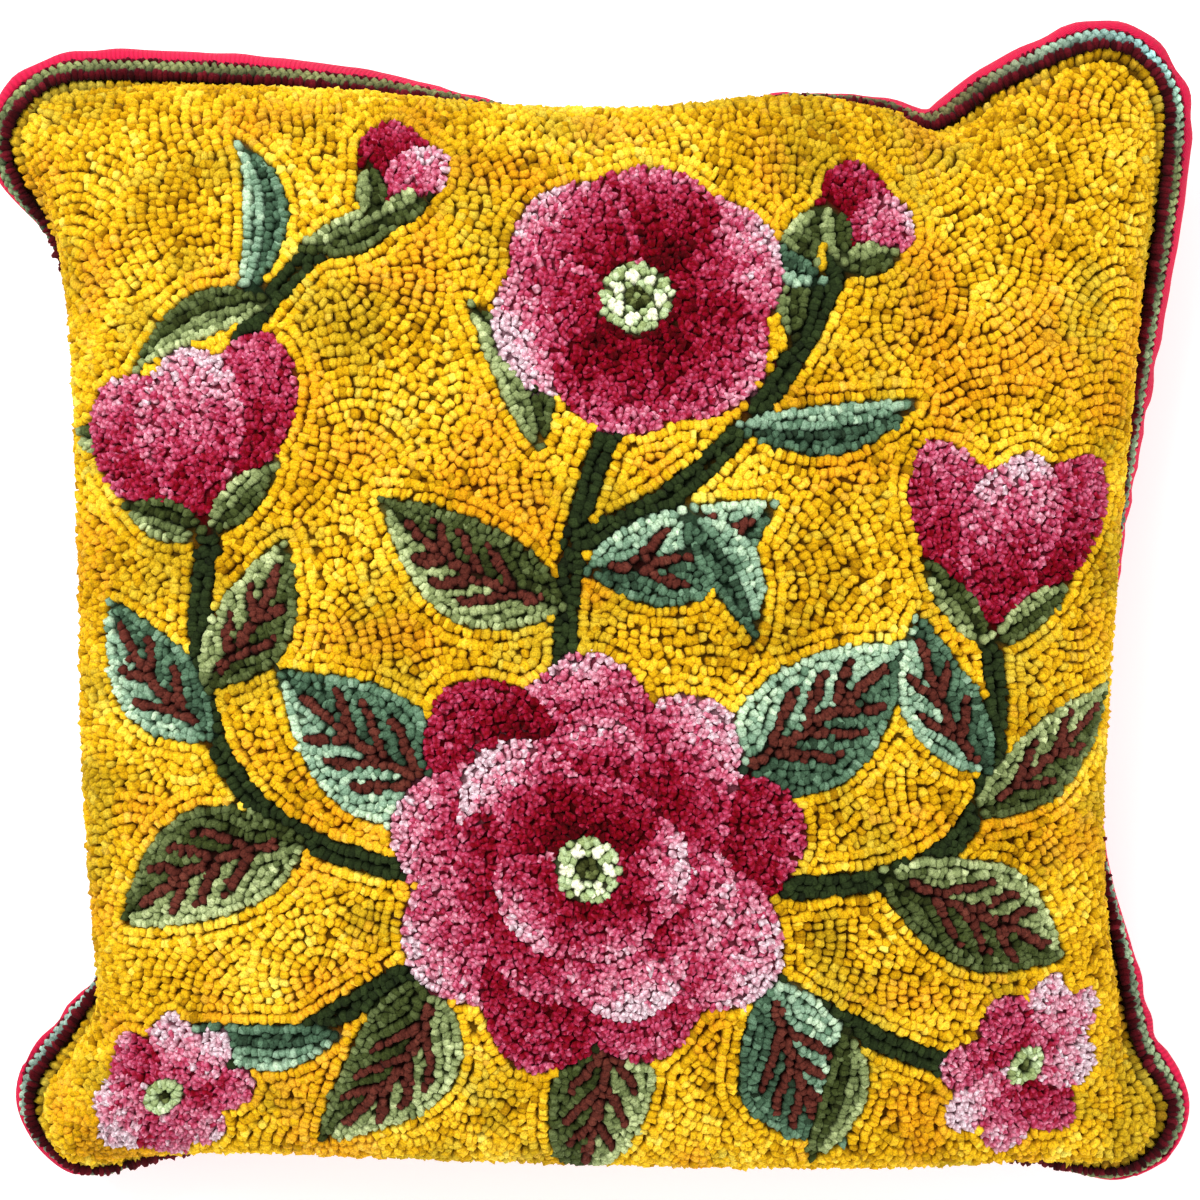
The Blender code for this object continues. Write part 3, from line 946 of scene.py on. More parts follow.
def gaps_filled(places, least):
    """The places with one more in each bare spot: at each map point that is further from every
    place than least rows, and further than its own neighbours on the map are."""
    asking = np.column_stack((map_x.ravel(), map_y.ravel()))
    near = neighbours(places, asking)
    run_p, run_q = map_run_p.reshape(-1, 3), map_run_q.reshape(-1, 3)
    pp, qq, pq = (run_p * run_p).sum(1), (run_q * run_q).sum(1), (run_p * run_q).sum(1)
    off_x = asking[:, :1] - places[near, 0]
    off_y = asking[:, 1:] - places[near, 1]
    away = off_x**2 * pp[:, None] + 2 * off_x * off_y * pq[:, None] + off_y**2 * qq[:, None]
    away = np.sqrt(np.where(near >= 0, away, FAR).min(axis=1)).reshape(map_x.shape)
    away = away / (ROW * map_size)
    highest = away
    for axis in (0, 1):
        shifts = [np.roll(highest, k, axis) for k in (-2, -1, 0, 1, 2)]
        highest = np.max(shifts, axis=0)
    bare = (away > least) & (away == highest) & (seam_reach > ROW)
    return np.concatenate((places, np.column_stack((map_x[bare], map_y[bare]))))


places = jostled(start_places(), ROUNDS)
for least in BARE:
    before = len(places)
    places = gaps_filled(places, least)
    print("bare spots filled:", len(places) - before)
    if least != BARE[-1]:
        places = jostled(places, SETTLING, start=SETTLED)
places = places[sampled(seam_reach, places) > RIM_ROOM * ROW]
print("loops on the front:", len(places))

# %% [markdown]
# ## Dyed wool
# The wool was dyed in small batches, so no two loops match: the gold runs from olive to orange,
# and each petal runs from a deep raspberry foot to a pale rim. Each wool is a short ramp of
# colours, written as sRGB hex values and turned to Blender's linear values by one function. A
# loop takes its place on the ramp from the map's tone, a soft patchy noise and a draw of its own.

# %% Colours
RAMPS = {
    GOLD: ("#966b02", "#c2940a", "#deaf1a", "#ecc434", "#f5da58"),
    PINK: ("#54000e", "#8a0223", "#ad2a4d", "#d06184", "#f2a6bb", "#ffe6ed"),
    LEAF: ("#1e220b", "#353e1b", "#545f37", "#7f8b5a", "#b9c48e"),
    TEAL: ("#1b271a", "#344b38", "#55735a", "#83a086", "#bcd2b2"),
    STEM: ("#10150a", "#1e2812", "#2f3c1d", "#46552c"),
    VEIN: ("#3d1812", "#5b2b22", "#7a4a3a"),
    CENTRE: ("#21230a", "#5b6336", "#8b9a63", "#b4c699", "#eef0cf"),
}
OLIVE, ORANGE = "#8d7d1e", "#cf7c10"

# How far a loop's own draw and its dye batch move it along the ramp: gold, and every other wool
OWN_SHARE = (0.17, 0.1)
BATCH_SHARE = (0.42, 0.12)

# Patches in the gold: dye, mm across, seed, and where on the noise they begin
GOLD_PATCHES = ((OLIVE, 17, 3, 0.62), (ORANGE, 21, 4, 0.7))
MOST_PATCH = 0.38


def hex_colours(*codes):
    """sRGB hex codes as an array with a row of red, green and blue, from 0 to 1, for each."""
    return np.array([[int(code[k : k + 2], 16) / 255 for k in (1, 3, 5)] for code in codes])


def linear(colours):
    """sRGB values as linear ones, by the sRGB curve: a straight foot, then a power of 2.4."""
    colours = np.asarray(colours, float)
    return np.where(colours <= 0.04045, colours / 12.92, ((colours + 0.055) / 1.055) ** 2.4)


def on_ramp(codes, tone):
    """Colours at each tone from 0 to 1 along a ramp, in straight steps between its codes."""
    colours = hex_colours(*codes)
    stops = np.linspace(0, 1, len(colours))
    return np.stack([np.interp(tone, stops, colours[:, k]) for k in range(3)], axis=-1)


def patches(x, y, size, seed):
    """Soft noise from 0 to 1: random values on a square lattice, size mm apart, with smooth
    curves between them."""
    table = np.random.default_rng(seed).random((64, 64))
    u, v = np.asarray(x) / size + 32, np.asarray(y) / size + 32
    low_u, low_v = np.floor(u).astype(int), np.floor(v).astype(int)
    share_u, share_v = u - low_u, v - low_v
    share_u, share_v = (k * k * (3 - 2 * k) for k in (share_u, share_v))
    low_u, low_v = low_u % 63, low_v % 63
    bottom = table[low_v, low_u] * (1 - share_u) + table[low_v, low_u + 1] * share_u
    top = table[low_v + 1, low_u] * (1 - share_u) + table[low_v + 1, low_u + 1] * share_u
    return bottom * (1 - share_v) + top * share_v


def dyed(places, wool, tone):
    """The sRGB colour of each loop: its wool's ramp at the map's tone, moved by patches and by a
    draw of its own, with olive and orange patches in the gold."""
    x, y = places.T
    own = draw.normal(0, 1, len(places))
    batch = patches(x, y, 26, 1) + 0.6 * patches(x, y, 9, 2) - 0.8
    gold = wool == GOLD
    level = tone + np.where(gold, *OWN_SHARE) * own + np.where(gold, *BATCH_SHARE) * batch
    colours = np.zeros((len(places), 3))
    for number, codes in RAMPS.items():
        here = wool == number
        colours[here] = on_ramp(codes, np.clip(level[here], 0, 1))
    for code, size, seed, start in GOLD_PATCHES:
        amount = np.clip((patches(x, y, size, seed) + 0.1 * own - start) * 2.4, 0, MOST_PATCH)
        amount = np.where(gold, amount, 0)[:, None]
        colours = colours * (1 - amount) + hex_colours(code)[0] * amount
    return colours


wool, tone = sampled(map_wool, places), sampled(map_tone, places)
colours = dyed(places, wool, tone)
print("mean gold:", colours[wool == GOLD].mean(axis=0).round(2))

# %% [markdown]
# ## The shape of one loop
# A hook pulls the yarn up through the ground cloth in an arch, and the yarn's width lies across
# the row, so each loop looks like a plump grain of rice lying across its row. Geometry Nodes
# could scatter a modelled loop, but here the loop is a small dome of two dozen points, worked out
# for all the loops at once: an arch along the row, and a round-ended curve across it. Pink wool
# was hooked looser, so its loops curl open, with a dip along the middle. Four numbers tell the
# kinds of loop apart: how deep they dip, how round they are from above, how uneven, and how much
# deeper their colour gets in the shade between them.

# %% A dome of two dozen points
CLOSES_IN = np.radians(112)
PLAIN_ACROSS = (-1.0, -0.46, 0.46, 1.0)
DIPPED_ACROSS = (-1.0, -0.74, 0.0, 0.74, 1.0)
LOOP_HEIGHT = 4.4
PLUMP = (0.0, 0.5, 0.08, 1.3)
CURLED = (0.36, 0.6, 0.1, 4.0)
FLUFFY = (0.0, 0.5, 0.08, 1.2)
SEWN = (0.0, 0.5, 0.06, 1.0)
FOOT_LIGHT = 0.4
TOP_LIGHT = 1.12


def in_shade(colours, light, depth):
    """Colours in less light, which are deeper too, because the light between loops comes off
    other loops: each channel's share of the strongest one is raised to a power, 1 in full light
    and 1 + depth in none."""
    strongest = np.maximum(colours.max(axis=-1, keepdims=True), TINY)
    return strongest * light * (colours / strongest) ** (1 + depth * np.clip(1 - light, 0, 1))


def loop_dome(dip, roundness):
    """A grid of points on one loop, as (along, across, up), each about 1 at most, and how open
    to the light each one is. Along the row: the sine and cosine of an arch that closes in below.
    Across: a round-ended curve, shorter towards its ends by roundness, and lowered by dip on a
    middle line that only a dipped loop has."""
    steps, columns = (5, DIPPED_ACROSS) if dip else (6, PLAIN_ACROSS)
    arch = np.linspace(-CLOSES_IN, CLOSES_IN, steps)
    arch, across = np.meshgrid(arch, columns, indexing="ij")
    rise = (np.cos(arch) - np.cos(CLOSES_IN)) / (1 - np.cos(CLOSES_IN))
    round_end = np.sqrt(1 - np.abs(across) ** 4.0)
    up = rise * round_end * (1 - dip * (across == 0) * rise)
    along = np.sin(arch) * (1 - roundness * across**4)
    across = across * (0.86 + 0.14 * rise)
    light = FOOT_LIGHT + (TOP_LIGHT - FOOT_LIGHT) * up**0.8 - 0.4 * dip * (across == 0) * rise
    return np.stack((along, across, up), axis=-1), light.ravel()


def grid_faces(rows, columns):
    """Corner numbers of the four-sided faces of a grid of points, row by row."""
    first = (np.arange(rows - 1)[:, None] * columns + np.arange(columns - 1)).ravel()
    return np.column_stack((first, first + columns, first + columns + 1, first + 1))


# %% Meshes from arrays
def mesh_from(name, points, faces, smooth=True):
    """A mesh from an array of points in metres and an array of four-sided faces."""
    mesh = bpy.data.meshes.new(name)
    mesh.vertices.add(len(points))
    mesh.vertices.foreach_set("co", np.ascontiguousarray(points, np.float32).ravel())
    mesh.loops.add(faces.size)
    mesh.loops.foreach_set("vertex_index", faces.astype(np.int32).ravel())
    mesh.polygons.add(len(faces))
    mesh.polygons.foreach_set("loop_start", np.arange(0, faces.size, 4, dtype=np.int32))
    mesh.update(calc_edges=True)
    mesh.polygons.foreach_set("use_smooth", np.full(len(faces), smooth))
    return mesh


def dye_mesh(mesh, colours):
    """Stores an sRGB colour for each point as the linear colour attribute named dye."""
    full = np.ones((len(colours), 4), np.float32)
    full[:, :3] = linear(np.clip(colours, 0, 1))
    attribute = mesh.color_attributes.new("dye", "FLOAT_COLOR", "POINT")
    attribute.data.foreach_set("color", full.ravel())


def put_in_scene(name, data):
    """A new object that holds the data, linked into the scene."""
    holder = bpy.data.objects.new(name, data)
    bpy.context.scene.collection.objects.link(holder)
    return holder


def add_piece(name, mesh, material):
    """A finished piece of the cushion, at the origin, riding on its one body."""
    piece = put_in_scene(name, mesh)
    mesh.materials.append(material)
    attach(piece, "root")
    return piece


def domes(feet, along, out, sizes, colours, kind):
    """Points and colours of many loops. feet: where each stands. along, out: unit vectors along
    the row and out of the cover. sizes: half length along, half width across, height. A loop's
    foot is in shade."""
    dip, roundness, uneven, depth = kind
    grid, light = loop_dome(dip, roundness)
    across = np.cross(out, along)
    along, across, out = (v[:, None, :] for v in (along, across, out))
    sizes = sizes[:, None, :]
    shape = grid.reshape(-1, 3)
    shape = shape + draw.normal(0, uneven, (len(feet), *shape.shape))
    points = (
        feet[:, None, :]
        + along * (shape[..., :1] * sizes[..., :1])
        + across * (shape[..., 1:2] * sizes[..., 1:2])
        + out * (shape[..., 2:] * sizes[..., 2:])
    )
    shade = in_shade(colours[:, None, :], light[:, None], depth)
    faces = grid_faces(*grid.shape[:2])
    faces = faces + len(light) * np.arange(len(feet))[:, None, None]
    return points.reshape(-1, 3), shade.reshape(-1, 3), faces.reshape(-1, 4)


def leaned(vectors, amount):
    """Unit vectors, each leaned a little at random."""
    return unit(vectors + draw.normal(0, amount, vectors.shape))


def squared(along, out):
    """The part of each vector along that is square to out, one unit long."""
    return unit(along - out * (along * out).sum(axis=1, keepdims=True))

# %% [markdown]
# ## Finishes
# Wool yarn is matt and a little furry: its fine hairs catch light at a glancing angle, which the
# shader's sheen gives, and its strands show as a fine noise in the bump. Every wool piece carries
# its own colours in the attribute dye, so one material function serves them all. The back is a
# bright twilled cotton, whose ribs follow the piece's own UV map.

# %% A small function for nodes
def add_node(tree, kind, settings=None, **links):
    """Adds a node of a kind to a tree. settings holds its properties and its inputs' values, and
    links joins its inputs, named with _ for a space, to other nodes' outputs."""
    node = tree.nodes.new(kind)
    for key, value in (settings or {}).items():
        if key in node.inputs:
            node.inputs[key].default_value = value
        else:
            setattr(node, key, value)
    for key, output in links.items():
        tree.links.new(output, node.inputs[key.replace("_", " ")])
    return node


def new_material(name):
    """A material with an empty node tree, and the tree."""
    material = bpy.data.materials.new(name)
    material.use_nodes = True
    material.node_tree.nodes.clear()
    return material, material.node_tree


# %% Wool
STRAND = 0.7


def end_fabric(tree, light, height, relief, surface):
    """Ends a fabric's nodes: the attribute dye, scaled by light, on a matt surface whose bump
    follows height. light holds the strands' fleck in wool and the painted shade between the ribs
    in cotton. relief holds the bump's settings, and surface the shader's."""
    dye = add_node(tree, "ShaderNodeAttribute", {"attribute_name": "dye"})
    colour = add_node(
        tree,
        "ShaderNodeVectorMath",
        {"operation": "SCALE"},
        Vector=dye.outputs["Color"],
        Scale=light.outputs["Result"],
    )
    bump = add_node(tree, "ShaderNodeBump", relief, Height=height)
    shader = add_node(
        tree,
        "ShaderNodeBsdfPrincipled",
        surface,
        Base_Color=colour.outputs["Vector"],
        Normal=bump.outputs["Normal"],
    )
    add_node(tree, "ShaderNodeOutputMaterial", Surface=shader.outputs["BSDF"])


def wool_material(name, sheen):
    """Dyed wool yarn: flecked by strands 0.7 mm apart, which also stand in the bump. The sheen
    is the light in its loose hairs."""
    material, tree = new_material(name)
    place = add_node(tree, "ShaderNodeTexCoord")
    strands = add_node(
        tree,
        "ShaderNodeTexNoise",
        {"Scale": 1 / (STRAND * MM), "Detail": 2.0, "Roughness": 0.6},
        Vector=place.outputs["Object"],
    )
    fleck = add_node(
        tree,
        "ShaderNodeMapRange",
        {"From Min": 0.3, "From Max": 0.7, "To Min": 0.6, "To Max": 1.36},
        Value=strands.outputs["Fac"],
    )
    surface = {
        "Roughness": 0.92,
        "IOR": 1.54,
        "Specular IOR Level": 0.06,
        "Sheen Weight": sheen,
        "Sheen Roughness": 0.45,
    }
    relief = {"Strength": 0.55, "Distance": 0.35 * MM}
    end_fabric(tree, fleck, strands.outputs["Fac"], relief, surface)
    return material


hooked_wool = wool_material("hooked wool yarn", 0.02)
trim_wool = wool_material("braided wool yarn", 0.04)

# %% Twilled cotton
RIB = 1.3
THREAD = 0.9
THREAD_SHARE = 0.35
PINK_CLOTH = hex_colours("#e01a49")[0]


def cotton_material(name):
    """Twilled cotton: fine diagonal ribs, crossed by its threads. The real ribs are about a
    millimetre apart and the threads half of that, so both are drawn a little coarser, as waves
    on the UV map, which spans the flat cloth once. Between the ribs the colour is darkened, as
    painted shade in the grooves, and on the ribs it is a little lighter, as painted light."""
    material, tree = new_material(name)
    cloth = add_node(tree, "ShaderNodeUVMap", {"uv_map": "cloth"})
    waves = []
    for direction, apart, turns in (("DIAGONAL", RIB, 10 * np.sqrt(2)), ("X", THREAD, 20)):
        scale = 2 * np.pi / turns * 2 * PANEL_HALF / apart
        wave = {"bands_direction": direction, "Scale": scale, "Distortion": 0.5, "Detail": 1.0}
        waves.append(add_node(tree, "ShaderNodeTexWave", wave, Vector=cloth.outputs["UV"]))
    weave = add_node(tree, "ShaderNodeMath", {"operation": "MULTIPLY_ADD"})
    weave.inputs[1].default_value = THREAD_SHARE
    tree.links.new(waves[1].outputs["Fac"], weave.inputs[0])
    tree.links.new(waves[0].outputs["Fac"], weave.inputs[2])
    # Painted shade and light: the dye is darker between the ribs, down to 0.68, and a little lighter on
    # them, up to 1.08
    depth = add_node(
        tree,
        "ShaderNodeMapRange",
        {"From Max": 1 + THREAD_SHARE, "To Min": 0.68, "To Max": 1.08},
        Value=weave.outputs["Value"],
    )
    surface = {"Roughness": 0.8, "IOR": 1.5, "Specular IOR Level": 0.15, "Sheen Weight": 0.04}
    relief = {"Strength": 0.8, "Distance": 0.25 * MM}
    end_fabric(tree, depth, weave.outputs["Value"], relief, surface)
    return material


pink_cotton = cotton_material("twilled cotton")

# %% [markdown]
# ## The padded body
# Under the loops lie the ground cloth and the filling. Only dark chinks of them show between the
# loops, coloured with the loops' own dyes darkened as painted shade, but they close the cushion and
# hold its form, so they are one closed padded body: the front, let down by the height of a loop,
# and the back, joined along a band at the seam.

# %% The padded body
BODY_GRID = 120
# How light the body is painted between the loops, as a share of full light: painted shade, a little
# lighter under pink
CHINK_SHADE, PINK_CHINK_SHADE = 0.44, 0.5
SUNK = LOOP_HEIGHT * 0.8


def closed_between(over, under):
    """Points and faces of a closed form between two grids of points with the same edges all
    round: the top grid, the bottom grid turned over, and the band that joins their rims."""
    rows, columns = over.shape[:2]
    count = rows * columns
    top = grid_faces(rows, columns)[:, ::-1]
    bottom = grid_faces(rows, columns) + count
    numbers = np.arange(count).reshape(rows, columns)
    rim = np.concatenate(
        (numbers[0, :-1], numbers[:-1, -1], numbers[-1, :0:-1], numbers[:0:-1, 0])
    )
    ahead = np.roll(rim, -1)
    band = np.column_stack((rim, rim + count, ahead + count, ahead))
    points = np.concatenate((over.reshape(-1, 3), under.reshape(-1, 3)))
    return points, np.concatenate((top, bottom, band))


def make_body():
    """The padded body. Between the loops it has their own colours in shade, as their feet do."""
    fine = crowded_line(BODY_GRID) * PANEL_HALF
    across, upwards = np.meshgrid(fine, fine)
    s, t = cloth_at(across, upwards)
    over = front_at(across, upwards) - front_out(across, upwards) * SUNK * MM
    under = back(s, t) + shift
    points, faces = closed_between(over, under)
    mesh = mesh_from("padded_body", points, faces)
    flat = np.column_stack((across.ravel(), upwards.ravel()))
    wool_there = sampled(map_wool, flat)
    # Painted shade: the body takes the loops' own dyes, darkened and deepened, where only shadow lies
    # between them
    chink_shade = np.where(wool_there == PINK, PINK_CHINK_SHADE, CHINK_SHADE)[:, None]
    depth = np.where(wool_there == PINK, CURLED[3], PLUMP[3])[:, None]
    ground = in_shade(dyed(flat, wool_there, sampled(map_tone, flat)), chink_shade, depth)
    dye_mesh(mesh, np.concatenate((ground, ground)))
    piece = add_piece("padded_body", mesh, hooked_wool)
    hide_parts("hooked_cushion")
    return piece


padded_body = make_body()
print("padded body:", len(padded_body.data.polygons), "faces")

# %% [markdown]
# ## Hooking the front
# Each loop stands on its place with its arch along the row. Its size follows the space that it
# has, and its height, lean and turn vary a little, because each was pulled by hand. The loops
# are made in several pieces, one for each kind of wool and strip of the panel, to keep each
# mesh light.

# %% Hooking the front
GOLD_STRIPS = 4
UNSTEADY = 0.25
OVERLAP = 1.3

# How far the hand varies a loop's length, width and height
LENGTHS, WIDTHS, HEIGHTS = (0.76, 1.26), (0.84, 1.14), (0.82, 1.08)


def hook(name, chosen, kind, turn, lean, width, height):
    """One piece of loops for the chosen places."""
    here = places[chosen] + draw.normal(0, UNSTEADY, places[chosen].shape)
    out = leaned(front_out(*here.T), lean)
    along = squared(leaned(row_frame(places[chosen])[0], turn), out)
    count, size = len(here), sampled(map_size, here)
    sizes = np.column_stack(
        (
            0.5 * PITCH * size * OVERLAP * draw.uniform(*LENGTHS, count),
            0.5 * ROW * size * width * draw.uniform(*WIDTHS, count),
            LOOP_HEIGHT * height * draw.uniform(*HEIGHTS, count),
        )
    )
    feet = front_at(*here.T) - out * (LOOP_HEIGHT * MM)
    parts = domes(feet, along, out, sizes * MM, colours[chosen], kind)
    mesh = mesh_from(name, parts[0], parts[2])
    dye_mesh(mesh, parts[1])
    add_piece(name, mesh, hooked_wool)


cuts = np.quantile(places[wool == GOLD][:, 1], np.arange(1, GOLD_STRIPS) / GOLD_STRIPS)
strip = np.searchsorted(cuts, places[:, 1])
for number in range(GOLD_STRIPS):
    here = (wool == GOLD) & (strip == number)
    hook(f"gold_loops_{number + 1}", here, PLUMP, 0.3, 0.12, 1.32, 1.0)
hook("pink_loops", wool == PINK, CURLED, 0.6, 0.2, 1.22, 1.06)
hook("green_loops", np.isin(wool, (LEAF, TEAL, STEM)), FLUFFY, 0.3, 0.12, 1.3, 1.02)
hook("vein_and_centre_loops", np.isin(wool, (VEIN, CENTRE)), FLUFFY, 0.25, 0.1, 1.28, 1.04)
print("loops of each wool:", np.bincount(wool))

# %% [markdown]
# ## The trims in the seam
# Between the hooked front and the pink back run a row of maroon loops, a braid of variegated
# green wool, and a line of dark overcast stitches that closes the seam. Each is a repeated small
# stitch on a line beside the seam, so one function spaces places evenly along such a line and
# gives the frame there: along the seam, towards the back, and outwards.

# %% Frames along the seam
PRESSED_IN = 2.4 * MM
FACES_UP = 30


def beside_seam(at, lift):
    """A line beside the seam, as a function of the place round it: the point at metres towards
    the back and lift metres outwards, and the way outwards. Where the seam doesn't turn up to
    face the front, it is pressed in between the front's bulge and the back's."""

    def line(place):
        point, runs, faces = seam_frame(*square_point(place))
        pressed = PRESSED_IN * np.clip(1 - seam_value(3, place) / FACES_UP, 0, 1)
        return point + runs * at + faces * (lift - pressed)[..., None] + shift, faces

    return line


OVERHANG = 0.62
RIM_LIGHT = 0.1


def inside_rim(inwards, sunk):
    """A line on the hooked front, some mm inside its edge and some mm under its surface, for
    loops that lean out over the trims."""

    def line(place):
        s, t = square_point(place)
        flat = np.array((s, t)) * (PANEL_HALF - inwards)
        _, runs, _ = seam_frame(*cloth_at(*(flat * 2)))
        out = front_out(*flat)
        return front_at(*flat) - out * sunk * MM, unit(out + OVERHANG * runs)

    return line


def even_places(line, spacing):
    """Places round the seam, spaced evenly along a line: the inverse of its running length, at
    a whole number of steps."""
    place = np.linspace(0, 4, 6001)
    steps = np.linalg.norm(np.diff(line(place)[0], axis=0), axis=1)
    run = np.concatenate(((0,), np.cumsum(steps)))
    count = int(round(run[-1] / (spacing * MM)))
    return np.interp(np.arange(count) / count * run[-1], run, place)


def sew(name, line, spacing, sizes, turn, loose, colours_at, material):
    """A row of small stitches along a line, each turned by an angle in degrees from the line's
    own direction. sizes: half length, half width and height in mm. loose: how unevenly they
    are sewn."""
    place = even_places(line, spacing)
    feet, out = line(place)
    out = leaned(out, loose)
    along = squared(line(place + 0.004)[0] - line(place - 0.004)[0], out)
    across = np.cross(out, along)
    angle = np.radians(turn) + draw.normal(0, 2 * loose, len(place))
    along = along * np.cos(angle)[:, None] + across * np.sin(angle)[:, None]
    scale = MM * draw.uniform(1 - 2 * loose, 1 + 2 * loose, (len(place), 3))
    colours = colours_at(place)
    points, shade, faces = domes(feet, along, out, np.array(sizes) * scale, colours, SEWN)
    mesh = mesh_from(name, points, faces)
    dye_mesh(mesh, shade)
    print(name, len(place), "stitches")
    return add_piece(name, mesh, material)


# %% Colours along the seam
MAROON = ("#2e0509", "#4e0c15", "#701a25")

SAGE, DRAB, SEA_GREEN, PALE_TEAL, PINE = "#7a8354", "#6a6744", "#8ca69a", "#9ccac6", "#5a7a66"

# Where the braid's variegated yarn has each of its five dyes: the place round the seam, which
# starts at the top left corner and grows by one at each corner, and the dye
BRAID_RUN = (
    (0.0, SAGE),
    (0.5, DRAB),
    (0.85, DRAB),
    (1.0, PALE_TEAL),
    (1.1, SAGE),
    (1.6, SEA_GREEN),
    (2.1, SAGE),
    (2.8, SAGE),
    (3.1, SEA_GREEN),
    (3.8, PINE),
    (4.0, SAGE),
)


def maroon_at(place):
    """Maroon yarn, a little lighter and darker from loop to loop."""
    return on_ramp(MAROON, np.clip(draw.normal(0.5, 0.22, len(place)), 0, 1))


def braid_colours(place, lighter):
    """The variegated yarn at a place: its dyes run into each other in straight steps, made
    lighter and darker by two slow waves and a draw for each stitch."""
    stops = np.array([row[0] for row in BRAID_RUN])
    dyes = hex_colours(*(row[1] for row in BRAID_RUN))
    colours = np.stack([np.interp(place % 4, stops, dyes[:, k]) for k in range(3)], axis=-1)
    wave = 0.08 * np.sin(2 * np.pi * place * 9) + 0.05 * np.sin(2 * np.pi * place * 23 + 1)
    return colours * (lighter + wave + draw.normal(0, 0.08, len(place)))[:, None]


def rim_colours(place):
    """The colours of the loops next to the seam: those of the flat map just inside it."""
    s, t = square_point(place)
    flat = np.column_stack((s, t)) * (PANEL_HALF - ROW)
    return dyed(flat, sampled(map_wool, flat), sampled(map_tone, flat) + RIM_LIGHT)


# %% Sewing the trims
# How far each trim and the back's edge lie nearer to the front than on the solids, in mm
BORDER_IN, BRAID_IN, STITCH_IN, BACK_IN = 0.6, 1.2, 1.3, 1.9
BORDER_RAISED, BRAID_RAISED = 0.9, 1.3
SINK = 0.4
border_high, braid_high, stitch_high = (
    2 * radius / MM + SINK for radius in (BORDER_RADIUS, BRAID_RADIUS, STITCH_RADIUS)
)
trim_lift = TRIM_GAP - SINK * MM
sew(
    "rim_loops",
    inside_rim(1.2, LOOP_HEIGHT),
    3.6,
    (2.15, 3.0, LOOP_HEIGHT + 0.9),
    0,
    0.07,
    rim_colours,
    hooked_wool,
)
border = sew(
    "border_loops",
    beside_seam(BORDER_AT - BORDER_IN * MM, trim_lift + BORDER_RAISED * MM),
    2.2,
    (1.5, 1.9, border_high),
    0,
    0.12,
    maroon_at,
    trim_wool,
)
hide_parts("border_row")
for number, (side, turn, lighter) in enumerate(((-0.4, 35, 0.9), (0.4, 132, 1.04))):
    braid = sew(
        f"braid_row_{number + 1}",
        beside_seam(BRAID_AT - BRAID_IN * MM + side * BRAID_RADIUS, trim_lift + BRAID_RAISED * MM),
        3.3,
        (2.3, 1.5, braid_high - 0.8 - BRAID_RAISED),
        turn,
        0.06,
        lambda place: braid_colours(place, lighter),
        trim_wool,
    )
    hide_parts("green_braid")
overcast = sew(
    "overcast_stitches",
    beside_seam(STITCH_AT - STITCH_IN * MM, trim_lift),
    2.1,
    (1.7, 1.05, stitch_high + 1.2),
    50,
    0.1,
    lambda place: maroon_at(place) * (1.15, 1.0, 1.3),
    trim_wool,
)
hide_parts("seam_stitch")

# %% [markdown]
# ## The back cloth
# The back is one plain square of bright pink cotton. The filling stretches it, the seam gathers
# it a little: it swells in a soft fold beside the stitches, and shallow puckers run from there
# towards the middle. Cloth simulation would give such puckers, but they have to meet the stitched
# seam exactly, so the cloth follows the filling's back, with a fold and ripples worked out on it.

# %% The back cloth
BACK_GRID = 136
SHEET = 0.8 * MM
PUCKERS = 0.8
PUCKER_FADE = 0.13
FOLD = 1.3
FOLD_AT = 0.022
EDGE_POWER = 24

# The slow unevenness of the cloth's dye: mm from the middle to an edge, and mm to a patch
DYE_HALF, DYE_PATCH = 228, 30


def pucker(s, t):
    """Ripples that run in from the seam, in mm: three waves along the seam, whose strength
    changes slowly, fading inwards from a little inside the seam."""
    reach = np.maximum(np.abs(s), np.abs(t))
    place = place_of(s, t)
    turn = 2 * np.pi * place / 4
    waves = (
        np.sin(83 * turn + 2 * np.sin(7 * turn))
        + 0.8 * np.sin(109 * turn + 1.5 * np.sin(11 * turn + 1))
        + 0.7 * np.sin(47 * turn + 2.5 * np.sin(5 * turn + 2))
    )
    strength = 0.55 + 0.45 * np.sin(9 * turn + np.sin(4 * turn))
    inwards = np.clip(1 - reach, 0, 1)
    fade = np.exp(-inwards / PUCKER_FADE) * np.clip(inwards / 0.02, 0, 1)
    return PUCKERS * waves * strength * fade


